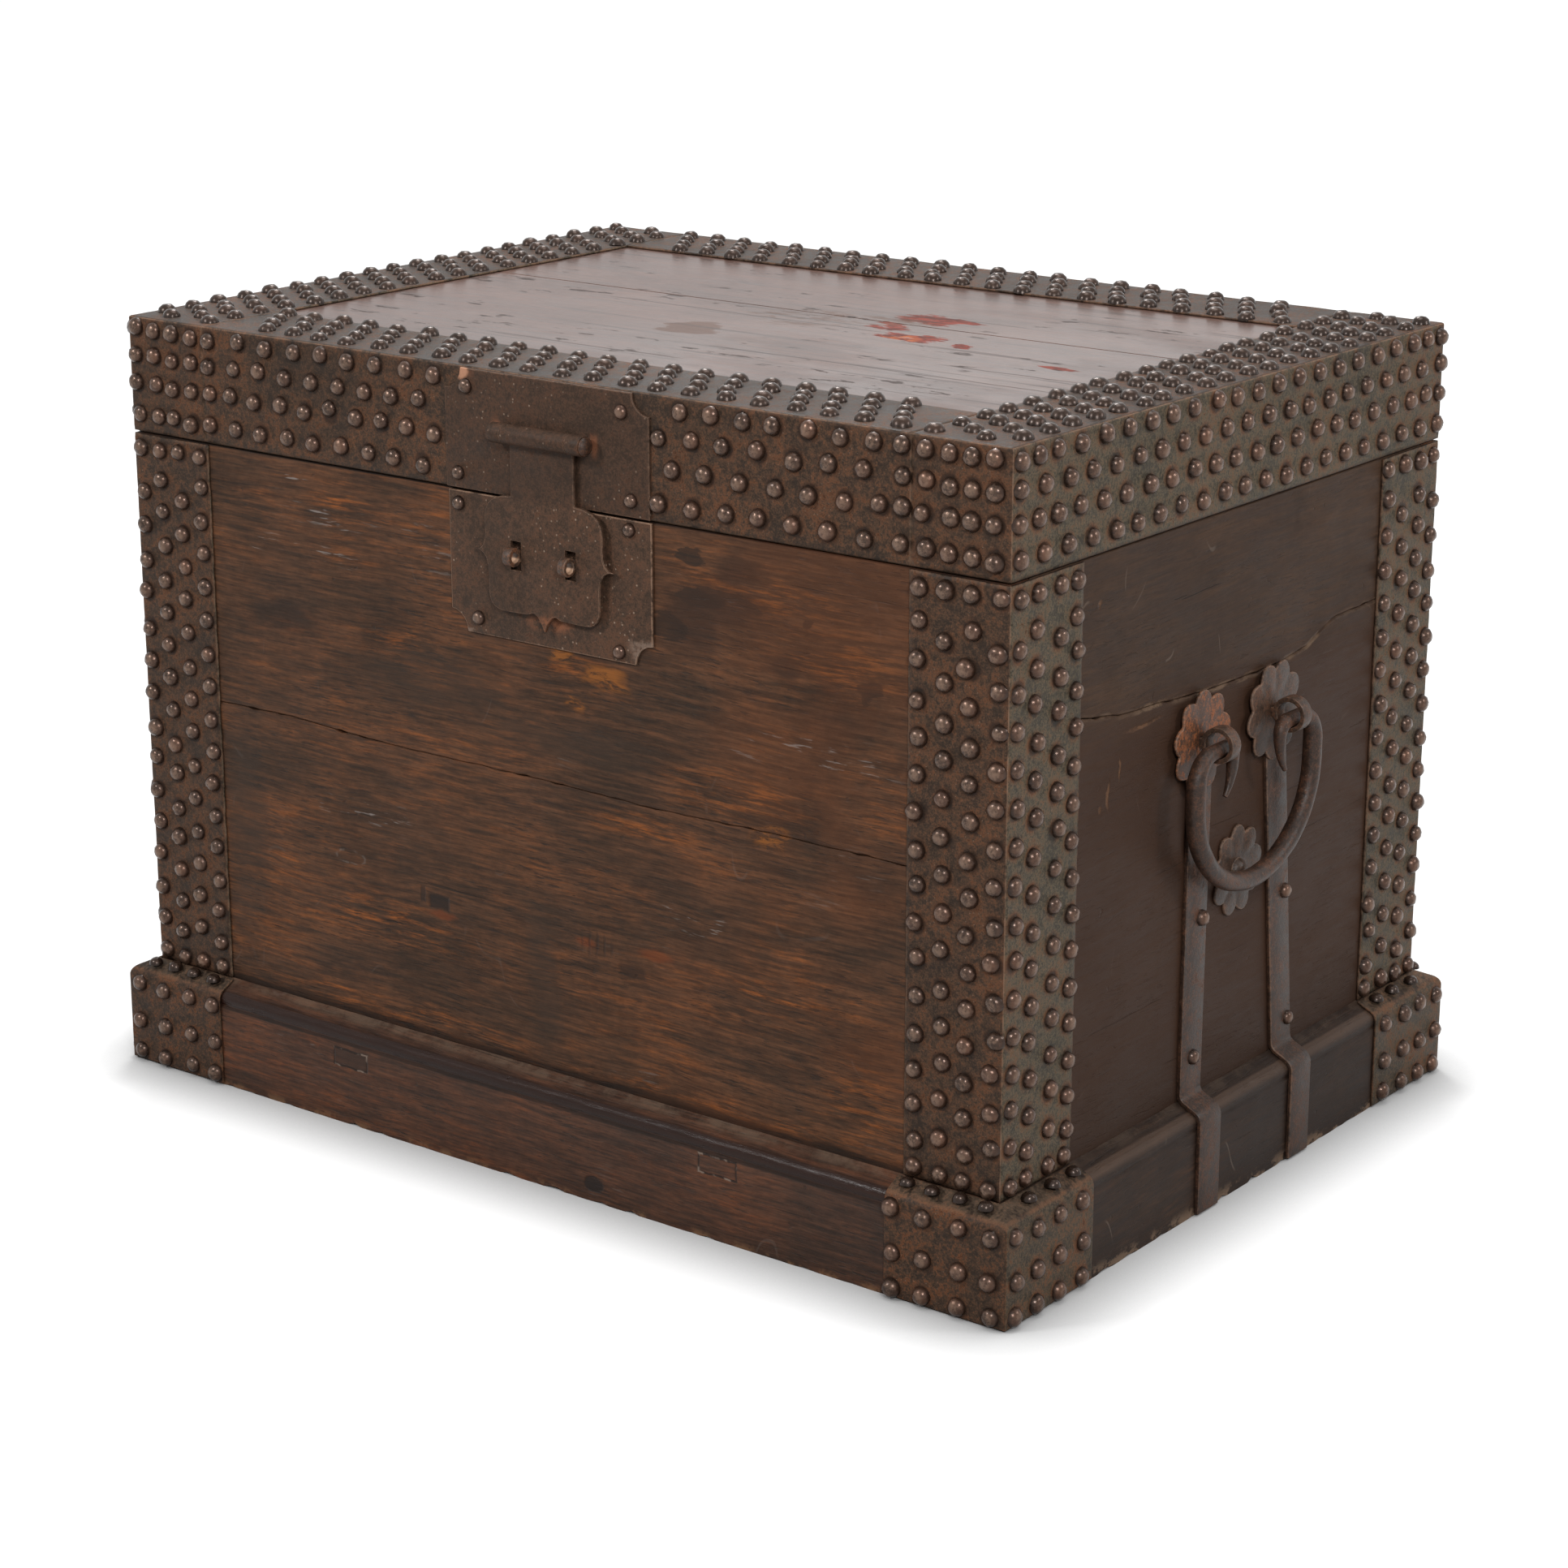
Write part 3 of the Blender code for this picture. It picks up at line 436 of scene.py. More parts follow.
frontLook = {
    "along": 0, "seed": 3.0, "gloss": 0.10, "rough": (0.40, 0.60), "relief": 0.0006, "torn": (30, 30, 90),
    "wear": 0.62, "soil": 0.60, "grain": 0.74, "ticks": 0.42, "scratch": 0.08, "pores": 0.66, "knocks": 40,
    "dark": tint(60, 45, 35), "mid": tint(95, 65, 47), "light": tint(144, 84, 44), "stain": tint(40, 34, 30),
    "pale": tint(146, 136, 130), "face": "front", "extra": frontMarks,
    "wornSpots": [
        (0.030, 0.392, 0.045, 0.018), (0.060, 0.384, 0.030, 0.016), (0.20, 0.470, 0.12, 0.030),
        (0.26, 0.430, 0.08, 0.040), (0.18, 0.325, 0.10, 0.030), (0.29, 0.125, 0.05, 0.060),
        (-0.15, 0.095, 0.20, 0.012), (0.15, 0.093, 0.20, 0.010), (-0.19, 0.480, 0.05, 0.022),
        (-0.13, 0.385, 0.06, 0.016), (-0.16, 0.165, 0.14, 0.028), (0.21, 0.185, 0.09, 0.020),
        (-0.25, 0.190, 0.04, 0.030), (0.10, 0.285, 0.09, 0.016)],
    "stainSpots": [
        (0.165, 0.458, 0.055, 0.018), (0.18, 0.480, 0.028, 0.02), (-0.25, 0.385, 0.05, 0.016),
        (0.22, 0.420, 0.02, 0.012), (0.14, 0.440, 0.03, 0.03)],
    "tickSpots": [
        (-0.20, 0.466, 0.07, 0.014), (-0.23, 0.488, 0.03, 0.012), (-0.18, 0.245, 0.09, 0.014),
        (0.24, 0.365, 0.10, 0.022), (-0.24, 0.437, 0.10, 0.012), (0.14, 0.225, 0.05, 0.012)],
}
backLook = dict(frontLook, seed=8.0, wear=0.6, wornSpots=None, stainSpots=None, tickSpots=None, extra=None)
insideLook = dict(backLook, seed=5.0, gloss=0.06, rough=(0.62, 0.8), wear=0.25, soil=0.4,
                  dark=tint(74, 58, 46), mid=tint(106, 84, 66), light=tint(124, 96, 70),
                  stain=tint(58, 46, 38))


def plinthMarks(wood):
    # two let-in patches, a plugged hole, dark polish on the bead and a scuffed foot
    shaky = wood.warp(wood.place, (80, 80, 80), (0.004, 0.004, 0.004))
    chip = wood.cover(0.50, 0.62, (110, 110, 110), (1, 0, 0), 3)
    for x, z, deep in ((-0.180, 0.053, 0.62), (0.173, 0.056, 0.22)):
        core = wood.slab(shaky, "plinth", (x, z, 0.0168, 0.0064), 0.9)
        rim = wood.slab(shaky, "plinth", (x, z, 0.0185, 0.0080), 0.9) - core
        wood.lay(core * deep, tint(46, 36, 31))
        wood.lay(rim * 0.95, tint(36, 27, 23))
        wood.lay(rim * chip * 0.55, tint(150, 130, 116))
        wood.height -= rim * 0.9
    hole = wood.blot(shaky, "plinth", (0.059, 0.0135, 0.0105, 0.0075), 0.7)
    wood.lay(hole * 0.85, tint(34, 28, 26))
    wood.height -= hole
    z = wood.axes(wood.place)[2]
    bead = z.band((0.0655, 0.0675), (0.0755, 0.0775))
    wood.lay(bead * 0.90, tint(38, 22, 17))
    wood.lay(z.thread(0.0650, 0.0018) * 0.7, tint(24, 18, 15))  # painted shade in the quirk
    foot = (1 - z.ramp(0.000, 0.007)) * wood.cover(0.48, 0.60, (45, 45, 45), (1, 4, 0), 5, 0.7)
    wood.lay(foot * 0.6, tint(124, 92, 66))
    dust = z.ramp(0.0775, 0.081) * wood.cover(0.36, 0.62, (30, 30, 30), (7, 1, 0), 6, 0.7)
    wood.lay(dust * 0.45, tint(118, 98, 82))
    wood.rough -= bead * 0.22
    wood.dull = 1 - bead


plinthLook = dict(backLook, seed=11.0, wear=0.55, gloss=0.12, rough=(0.36, 0.54), coat=0.06, coatRough=0.12,
                  dark=tint(56, 42, 35), mid=tint(84, 56, 42), light=tint(120, 66, 36), extra=plinthMarks)


def endMarks(wood):
    # lower board browner than the upper one, bare chips along the open joint, orange scratches, darker foot
    z = wood.axes(wood.place)[2]
    wood.lay((1 - z.ramp(0.36, 0.41)) * 0.75, tint(60, 41, 31))
    chip = wood.cloud(wood.place, (60, 60, 120), (4, 4, 1), 6, 0.7)
    some = wood.cover(0.42, 0.58, (22, 22, 22), (6, 2, 4), 3) * 0.7 + 0.3
    joint = (wood.stored("joint") + chip * 0.5 - 0.25).ramp(0.55, 0.98) * chip.ramp(0.40, 0.58) * some
    wood.lay(joint * 0.7, tint(120, 98, 80))
    cut = wood.blots(wood.warp(wood.place, (60, 60, 60), (0.0, 0.016, 0.006)), "end", [
        (-0.162, 0.338, 0.0025, 0.016), (-0.150, 0.352, 0.002, 0.012), (-0.170, 0.329, 0.003, 0.004),
        (-0.120, 0.376, 0.030, 0.0022), (-0.178, 0.472, 0.003, 0.004)], 0.3)
    wood.lay(cut * chip.ramp(0.36, 0.56) * 0.55, tint(124, 90, 66))
    wood.lay((1 - z.ramp(0.09, 0.15)) * 0.3, tint(40, 34, 31))
    wood.height -= joint * 0.8 + cut * 0.8


endLook = {
    "along": 1, "seed": 14.0, "gloss": 0.07, "rough": (0.40, 0.58), "relief": 0.0005, "torn": (30, 30, 90),
    "wear": 0.26, "soil": 0.45, "grain": 0.46, "ticks": 0.18, "scratch": 0.28, "pores": 0.35, "knocks": 46,
    "dark": tint(58, 43, 34), "mid": tint(72, 54, 42), "light": tint(90, 62, 44), "stain": tint(40, 33, 29),
    "pale": tint(136, 120, 108), "extra": endMarks,
}


def plinthEndMarks(wood):
    # scuffed foot, a ridge that is rubbed and also painted lighter as a highlight, dust on the slope
    z = wood.axes(wood.place)[2]
    foot = (1 - z.ramp(0.000, 0.012)) * wood.cover(0.50, 0.58, (40, 40, 60), (1, 4, 0), 5, 0.7)
    wood.lay(foot * 0.7, tint(136, 112, 92))
    # the ridge's lighter band: partly rubbed wood, partly a painted highlight along the moulding
    ridge = z.band((0.070, 0.075), (0.0775, 0.0785))
    wood.lay(ridge * 0.35, tint(110, 88, 74))
    dust = z.ramp(0.078, 0.081) * wood.cover(0.42, 0.62, (30, 30, 30), (7, 1, 0), 6, 0.7)
    wood.lay(dust * 0.2, tint(112, 94, 80))
    wood.rough -= ridge * 0.15


plinthEndLook = dict(endLook, seed=27.0, gloss=0.12, dark=tint(40, 30, 25), mid=tint(50, 38, 31),
                     extra=plinthEndMarks)
topCracks = [  # y, and where it begins and ends in x
    (-0.112, 0.0, 0.33), (-0.072, 0.18, 0.33), (0.008, -0.2, 0.1), (-0.165, -0.17, 0.05),
    (-0.150, 0.20, 0.27)]


def topMarks(wood):
    # remnants of red lacquer, a rubbed brown pool, short dark dashes and hairline cracks
    rag = wood.warp(wood.place, (18, 60, 60), (0.06, 0.03, 0.0))
    red = wood.blots(rag, "top", [
        (0.088, 0.072, 0.052, 0.028), (0.075, 0.030, 0.030, 0.024), (0.118, 0.000, 0.052, 0.026),
        (0.172, -0.008, 0.014, 0.012), (0.272, -0.035, 0.024, 0.008)], 0.3)
    flake = wood.cloud(wood.place, (38, 110, 60), (2, 0, 0), 7, 0.76)
    red = (red * 0.35 + flake).ramp(0.70, 0.78)
    chip = wood.cloud(wood.place, (90, 170, 90), (6, 0, 0), 4, 0.7)
    wood.lay(red * 0.9, wood.mix(chip.ramp(0.40, 0.60), tint(88, 42, 35), tint(132, 58, 46)))
    gold = wood.blot(rag, "top", (0.115, -0.004, 0.026, 0.016), 0.3)
    wood.lay(gold * red * chip.ramp(0.46, 0.58) * 0.8, tint(166, 92, 44))
    pool = wood.blots(rag, "top", [(0.0, 0.025, 0.06, 0.05), (0.06, 0.05, 0.05, 0.03)], 0.5)
    pool = pool * flake.ramp(0.42, 0.58) * 0.8
    pool = pool | wood.blot(rag, "top", (-0.035, -0.062, 0.030, 0.028), 0.8) * 0.8
    wood.lay(pool * 0.8, tint(88, 64, 52))
    dash = wood.cover(0.60, 0.64, (26, 80, 20), (5, 1, 0), 4, 0.66)
    dash = dash * wood.cover(0.44, 0.54, (8, 12, 7), (1, 8, 0), 3)
    line = wood.cover(0.54, 0.66, (4, 120, 20), (9, 1, 0), 5, 0.66) * 0.6
    x, y, z = wood.axes(wood.warp(wood.place, (14, 14, 14), (0.0, 0.008, 0.0)))
    for level, start, end in topCracks:
        crack = y.thread(level, 0.0014) * x.band((start, start + 0.04), (end - 0.03, end))
        dash = dash | crack * 0.9
    wood.lay(dash * 0.8 | line, tint(48, 38, 35))
    haze = wood.cover(0.40, 0.66, (6, 14, 6), (3, 3, 0), 5, 0.6)
    dull = wood.dull * 0.6 | red * 0.85 | pool * 0.95 | dash * 0.95 | line * 0.9 | haze * 0.4
    wood.dull = dull | (1 - (x - y * 0.7).ramp(-0.20, 0.40)) * 0.41  # better polish at the front right
    wood.height -= dash * 0.6
    wood.rough += red * 0.3


topLook = {
    "along": 0, "seed": 21.0, "gloss": 0.05, "rough": (0.36, 0.50), "relief": 0.00020, "torn": (30, 60, 30),
    "wear": 0.20, "soil": 0.35, "grain": 0.40, "ticks": 0.12, "scratch": 0.15, "pores": 0.40, "knocks": 38,
    "coat": 0.80, "coatRough": 0.26, "dark": tint(72, 52, 45), "mid": tint(92, 67, 58),
    "light": tint(108, 76, 60), "stain": tint(58, 43, 39), "pale": tint(140, 124, 118), "extra": topMarks,
}
woodLooks = {  # by the start of a node's name
    "front_board": frontLook, "back_board": backLook, "left_board": endLook, "right_board": endLook,
    "plinth_front": plinthLook, "plinth_back": plinthLook, "plinth_left": plinthEndLook,
    "plinth_right": plinthEndLook, "lid_top": topLook, "lid_rail": insideLook, "floor_board": insideLook,
}
woods = {}  # by seed


def woodFor(name):
    start, look = next(pair for pair in woodLooks.items() if name.startswith(pair[0]))
    if look["seed"] not in woods:
        woods[look["seed"]] = woodFinish(start + "_wood", look)
    return woods[look["seed"]]


for name, node in nodes.items():
    if name.startswith(("lid_top", "lid_rail", "floor_board")):
        node.data.materials.clear()
        node.data.materials.append(woodFor(name))
print("wood dressed")


# iron: brown patina with dark scale, rust and dust; end faces greener, folds rubbed bright
def ironFinish(name, look):
    iron = Finish(name, Specular_IOR_Level=look["gloss"], Metallic=look["metal"])
    seed = look["seed"]
    large = iron.cloud(iron.place, (13, 13, 13), (seed, 0, 0), 5, 0.6)
    middle = iron.middle = iron.cloud(iron.place, (75, 75, 75), (0, seed, 0), 6, 0.68)
    small = iron.cloud(iron.place, (330, 330, 330), (0, 0, seed), 4, 0.7)
    fine = iron.cloud(iron.place, (820, 820, 820), (seed, seed, 0), 3, 0.6)
    broad, coarse, grainy = large * 0.5 + middle * 0.5, middle * 0.6 + small * 0.4, middle * 0.5 + small * 0.5
    base = (large * 0.14 + middle * 0.28 + small * 0.34 + fine * 0.24).ramp(0.42, 0.58)
    iron.colour = iron.mix(base, look["dark"], look["mid"])
    rust = (middle * 0.26 + small * 0.34 + fine * 0.20 + large * 0.20).ramp(0.50, 0.58) * look["rust"]
    facing = [abs(part) for part in iron.facing()]
    endways = facing[0].ramp(0.6, 0.9)
    if look.get("green"):
        iron.lay(endways * look["green"], iron.mix(base, look["greenDark"], look["greenPale"]))
        # tops greyer and darker: partly a greyer patina, partly painted shade that tones down their
        # reflection of the white surroundings
        iron.lay(facing[2].ramp(0.6, 0.9) * 0.75, iron.mix(base, look["topDark"], look["topPale"]))
    if look.get("tone"):
        tone, upward, crown = (iron.stored(layer) for layer in ("tone", "upward", "crown"))
        iron.lay(tone.ramp(0.35, 1.0) * 0.6, look["rustDark"])
        rust = rust | tone.ramp(0.70, 1.0) * middle.ramp(0.42, 0.60) * 0.7
        # studs on the top lose rust and are darkened: painted shade on the up-facing studs
        rust = rust * (1 - 0.8 * upward)
        iron.lay(facing[0].ramp(0.35, 0.9) * 0.45, look["rustDark"])
        iron.lay(upward * 0.7, look["topDark"])
    if look.get("near"):
        near = iron.stored("near")
        halo = near.ramp(0.20, 0.55) * broad.ramp(0.40, 0.56)
        rust = rust | halo * look["near"] * (0.40 + 0.60 * endways)
    iron.lay(rust, iron.mix(grainy.ramp(0.40, 0.62), look["rustDark"], look["rustBright"]))
    pit = (small * 0.6 + middle * 0.4).ramp(0.56, 0.66)
    iron.lay(pit * look["pits"], look["scale"])
    speck = 1 - iron.speckle(iron.place, look["specks"], (seed, 0, 0)).ramp(0.07, 0.20)
    speck = speck * broad.ramp(0.47, 0.58) * look["dust"]
    iron.lay(speck, look["pale"])

    # painted shade round the nails and at their feet; crowns and eased edges rubbed and painted bright as
    # highlights; folds and rims rubbed bright
    if look.get("near"):
        # a dark ring on the sheet round each nail: painted contact shadow
        iron.lay(near.ramp(0.42, 0.60) * 0.70, look["scale"])
    if look.get("tone"):
        # the lower part of each dome darkened: painted shade at its foot
        iron.lay((1 - crown.ramp(0.05, 0.65)) * 0.65, look["scale"])
        # the crown lightened: partly rubbed metal, partly a painted highlight
        rubbed = crown.ramp(0.70, 1.0) * (1 - upward) * grainy.ramp(0.38, 0.58)
        iron.lay(rubbed * 0.38, look["bare"])
    if look.get("worn"):
        iron.lay(iron.stored("worn").ramp(0.45, 1.0) * middle.ramp(0.32, 0.58) * 0.42, look["bare"])
        iron.lay(iron.stored("rim").ramp(0.4, 1.0) * middle.ramp(0.38, 0.60) * 0.22, look["bare"])
    # eased edges lightened: partly rubbed metal, partly a painted highlight along the edges
    if look.get("rub"):
        iron.lay(iron.stored("rub") * coarse.ramp(0.36, 0.56) * look["rub"], look["bare"])
    if look.get("ledge"):
        iron.lay(facing[2].ramp(0.5, 0.9) * coarse.ramp(0.36, 0.60) * look["ledge"], look["dustTone"])
    # a dark band where the lid meets the chest: painted shade in the gap
    if look.get("grime"):
        gap = iron.axes(iron.place)[2].band(lidGap["sheet"], lidGap["lid"])
        iron.lay(gap * look["grime"], lidGap["black"])
    if look.get("extra"):
        look["extra"](iron)
    height = large * look["dents"] + middle * 0.5 + small * 0.35 + speck * 0.2 - pit * 0.3
    low, high = look["rough"]
    iron.feed(Base_Color=iron.colour, Roughness=low + (high - low) * coarse.ramp(0.35, 0.65),
              Normal=iron.bump(height, look["relief"]))
    return iron.material


def stapleMarks(iron):
    # bare metal where a padlock bar has rubbed the eye
    z = iron.axes(iron.place)[2]
    rubbed = iron.facing()[2].ramp(0.0, 0.5) * (1 - z.ramp(0.4645, 0.4665))
    iron.lay(rubbed * 0.9, tint(196, 158, 130))


def lockMarks(iron):
    # rust seams by the barrel, a bright scuff at the lower right corner, pink bare metal at the top left edge
    rag = iron.warp(iron.place, (70, 70, 70), (0.010, 0.010, 0.010))
    scuff = iron.blots(rag, "front", [(0.098, 0.414, 0.018, 0.012), (-0.060, 0.405, 0.010, 0.002)], 0.2)
    iron.lay(scuff * iron.middle.ramp(0.44, 0.58) * 0.5, tint(150, 130, 116))
    seams = iron.blots(rag, "front", [(-0.066, 0.589, 0.020, 0.006), (-0.030, 0.553, 0.006, 0.012),
                                      (0.058, 0.553, 0.006, 0.012), (0.014, 0.420, 0.03, 0.008)], 0.3)
    iron.lay(seams * iron.middle.ramp(0.38, 0.55) * 0.75, tint(142, 92, 66))
    iron.lay(iron.axes(iron.place)[2].ramp(0.505, 0.508) * 0.3, tint(46, 34, 28))  # darker upper plate
    iron.lay(iron.blot(rag, "front", (-0.062, 0.590, 0.008, 0.007), 0.5) * 0.85, tint(190, 140, 112))


sheetLook = {
    "seed": 2.0, "gloss": 0.11, "metal": 0.0, "rough": (0.40, 0.60), "relief": 0.0010, "dents": 1.0,
    "rust": 0.45, "near": 0.75, "specks": 330, "dust": 0.30, "pits": 0.60, "green": 0.80, "grime": 0.85,
    "worn": True, "dark": tint(46, 36, 29), "mid": tint(86, 65, 51), "rustDark": tint(84, 54, 38),
    "rustBright": tint(122, 74, 46), "scale": tint(26, 20, 17), "pale": tint(160, 138, 120),
    "bare": tint(164, 132, 110), "greenDark": tint(56, 51, 42), "greenPale": tint(109, 100, 83),
    "topDark": tint(28, 22, 18), "topPale": tint(51, 42, 34),
}
plainLook = dict(sheetLook, near=None, worn=None, green=None, grime=None)
capLook = dict(sheetLook, seed=4.0, ledge=0.45, dustTone=tint(112, 94, 78), rust=0.65, green=0.5,
               bare=tint(126, 82, 54))
studLook = dict(plainLook, seed=6.0, tone=True, gloss=0.36, metal=0.5, rough=(0.23, 0.35), relief=0.0002,
                dents=0.4, pits=0.35, rust=0.25, dust=0.15, dark=tint(52, 39, 32), mid=tint(84, 63, 51),
                rustDark=tint(82, 58, 46), rustBright=tint(102, 71, 54), scale=tint(34, 26, 22),
                bare=tint(150, 124, 106), topDark=tint(44, 33, 27))
lockLook = dict(plainLook, seed=12.0, rough=(0.42, 0.62), rub=0.55, rust=0.20, dust=0.9, specks=200, pits=0.5,
                dark=tint(56, 43, 34), mid=tint(88, 66, 53), extra=lockMarks)
forgedLook = dict(plainLook, seed=17.0, gloss=0.25, rough=(0.34, 0.52), rub=0.26, rust=0.35, dust=0.3,
                  dents=0.8, dark=tint(42, 31, 25), mid=tint(68, 49, 39))
roseLook = dict(forgedLook, seed=23.0, rust=0.40, dark=tint(50, 38, 31), mid=tint(82, 62, 50))
rustedLook = dict(forgedLook, seed=19.0, rust=0.95, dark=tint(62, 44, 35), mid=tint(90, 62, 46),
                  rustDark=tint(104, 60, 36), rustBright=tint(156, 92, 54))
stapleLook = dict(rustedLook, seed=29.0, rust=0.45, dark=tint(58, 44, 36), mid=tint(88, 68, 56),
                  extra=stapleMarks)
irons = {name: ironFinish(name, look) for name, look in (
    ("sheet_brown_iron", sheetLook), ("cap_iron", capLook), ("stud_iron", studLook), ("lock_iron", lockLook),
    ("forged_iron_worn", forgedLook), ("rose_iron", roseLook), ("rusted_iron_orange", rustedLook),
    ("staple_iron", stapleLook))}
print("iron mixed")


def keep(bm, name, material, body, sharp):
    # a bmesh becomes a piece riding on a body
    mesh = bpy.data.meshes.new(name)
    bm.to_mesh(mesh)
    bm.free()
    mesh.polygons.foreach_set("use_smooth", [True] * len(mesh.polygons))
    mesh.set_sharp_from_angle(angle=math.radians(sharp))
    mesh.materials.append(material)
    piece = bpy.data.objects.new(name, mesh)
    scene.collection.objects.link(piece)
    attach(piece, body)
    return piece


def standIn(bm, name, ending, material, sharp=40):
    # a worked copy that replaces a CAD node
    piece = keep(bm, name + ending, material, nodes[name]["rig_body"], sharp)
    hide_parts(name)
    return piece


# studs: where they sit, row by row, in metres on each face
stud = {"radius": 0.0067, "rise": 0.0058, "sides": 12, "shapes": 5, "stray": 0.0007, "tilt": 3,
        "spread": 0.035, "flatness": 0.06, "hammer": 0.025}
spots = {"lid": [], "chest": []}  # (place, outward)


def run(first, last, count):
    return [first + (last - first) * i / (count - 1) for i in range(count)]


def row(body, face, along, across, lift=0.0):
    # along: places on the face; across: the fixed coordinate; lift: how far out from the face
    for value in along:
        side = -1 if face in ("front", "left") else 1
        if face in ("front", "back"):
            place, out = Vector((value, side * half["y"], across)), Vector((0, side, 0))
        elif face in ("left", "right"):
            place, out = Vector((side * half["x"], value, across)), Vector((side, 0, 0))
        else:
            place, out = Vector((value, across, half["top"])), Vector((0, 0, 1))
        spots[body].append((place + out * lift, out))


def layLidStuds():
    stagger, slide, pitch, weave = 0.0136, 0.0115, 0.0195, 0.0138
    leftCorner, rightCorner = run(-0.392, -0.315, 5), run(0.315, 0.388, 5)
    even, odd = [-0.278, -0.257] + run(-0.236, 0.236, 18) + [0.258, 0.279], run(-0.278, 0.279, 21)
    for height, left, right in (
            (0.5850, run(-0.2830, -0.0905, 8), run(0.1310, 0.2925, 7)),
            (0.5650, run(-0.2905, -0.1045, 8), run(0.1128, 0.2848, 7)),
            (0.5435, run(-0.2935, -0.0910, 9), run(0.1258, 0.2982, 7)),
            (0.5205, run(-0.2895, -0.1030, 8), run(0.1143, 0.2848, 7))):
        row("lid", "front", leftCorner + left + right + rightCorner, height)
    for i, height in enumerate((0.5850, 0.5645, 0.5430, 0.5205)):
        shift = stagger * (i % 2)
        whole = run(-0.286 + shift, 0.286 - stagger + shift, 21)
        clear = [x for x in whole if not 0.198 < abs(x) < 0.272 or height > 0.579]  # none on the hinge leaves
        row("lid", "back", leftCorner + clear + rightCorner, height)
        for face in ("left", "right"):
            row("lid", face, odd if i % 2 else even, height)
    for i in range(4):
        for side, edge in ((-1, -0.2125), (1, 0.2710)):
            row("lid", "top", run(-0.306 + slide * i, 0.268 + slide * i, 21), edge - pitch * i)
            for y in run(-0.271 + weave * (i % 2), 0.257 + weave * (i % 2), 20):
                row("lid", "top", [side * (0.3305 + pitch * i)], y)


def layChestStuds():
    # columns on the corner plates, alternately placed, then three rows on the plinth caps
    odd = [0.495] + run(0.4715, 0.1110, 15) + [0.0915]
    even = [0.495] + run(0.4600, 0.1190, 14) + [0.0915]
    for face in ("front", "back"):
        for x, heights in ((0.3295, odd), (0.3505, even), (0.3710, odd), (0.3920, even)):
            for sign in (1, -1):
                for height in heights:
                    row("chest", face, [sign * x], height)
    for face in ("left", "right"):
        for y, heights in ((-0.2765, even), (-0.2560, odd), (-0.2300, even), (-0.2090, odd),
                           (0.2090, odd), (0.2320, even), (0.2560, odd), (0.2775, even)):
            for height in heights:
                row("chest", face, [y], height)
    lift = half["plinthX"] - half["x"]
    for height in (0.0650, 0.0345, 0.0088):
        for faces, places in ((("front", "back"), (0.4065, 0.3800, 0.3500, 0.3240)),
                              (("left", "right"), (0.2935, 0.2680, 0.2410, 0.2120))):
            for place in places:
                for sign in (-1, 1):
                    for face in faces:
                        row("chest", face, [sign * place], height, lift)


def flangeStuds():
    # on the flat flange of each plinth cap, round the foot of the corner plate
    level, up = 0.0824, Vector((0, 0, 1))
    flange = [(x, 0.2955) for x in (0.330, 0.352, 0.374, 0.396)]
    flange += [(0.4095, y) for y in (0.212, 0.238, 0.266)]
    return [(Vector((sx * x, sy * y, level)), up) for sx in (-1, 1) for sy in (-1, 1) for x, y in flange]


def studShape(kind):
    # half a hammered dome, spun from its profile
    shape = random.Random(kind)
    bm = bmesh.new()
    radius, rise = stud["radius"], stud["rise"]
    profile = [(radius * 1.04, -0.0006), (radius, rise * 0.16), (radius * 0.88, rise * 0.55),
               (radius * 0.55, rise * 0.88), (0, rise)]
    points = [bm.verts.new((x, 0, z)) for x, z in profile]
    edges = [bm.edges.new(pair) for pair in zip(points, points[1:])]
    bmesh.ops.spin(bm, geom=points + edges, axis=(0, 0, 1), cent=(0, 0, 0), steps=stud["sides"],
                   angle=math.tau, use_merge=True)
    bmesh.ops.remove_doubles(bm, verts=bm.verts, dist=1e-5)
    bmesh.ops.recalc_face_normals(bm, faces=bm.faces)
    for vert in bm.verts:
        if vert.co.z > 0:
            vert.co += Vector([shape.uniform(-1, 1) for i in range(3)]) * radius * stud["hammer"]
    mesh = bpy.data.meshes.new(f"stud_{kind}")
    bm.to_mesh(mesh)
    bm.free()
    return mesh


def layStuds(name, body, places, shapes, size=1.0):
    bm = bmesh.new()
    tone, upward, crown = (bm.verts.layers.float.new(layer) for layer in ("tone", "upward", "crown"))
    for place, out in places:
        mesh = dice.choice(shapes)
        count = len(bm.verts)
        bm.from_mesh(mesh)
        bm.verts.ensure_lookup_table()
        fresh = bm.verts[count:]
        for vert in fresh:
            vert[crown] = max(0, vert.co.z / stud["rise"])
        grow = dice.gauss(1, stud["spread"]) * size
        lean = [math.radians(dice.gauss(0, stud["tilt"])) for i in range(2)]
        across = out.orthogonal()
        stray = across * dice.gauss(0, stud["stray"]) + out.cross(across) * dice.gauss(0, stud["stray"])
        turn = out.to_track_quat("Z", "Y").to_matrix().to_4x4()
        turn = turn @ Matrix.Rotation(lean[0], 4, "X") @ Matrix.Rotation(lean[1], 4, "Y")
        spin = Matrix.Rotation(dice.uniform(0, math.tau), 4, "Z")
        scale = Matrix.Diagonal((grow, grow, grow * dice.gauss(1, stud["flatness"]), 1))
        bmesh.ops.transform(bm, verts=fresh, matrix=Matrix.Translation(place + stray) @ turn @ spin @ scale)
        shade = dice.random()
        for vert in fresh:
            vert[tone] = shade
            vert[upward] = out.z
    keep(bm, name, irons["stud_iron"], body, sharp=60)


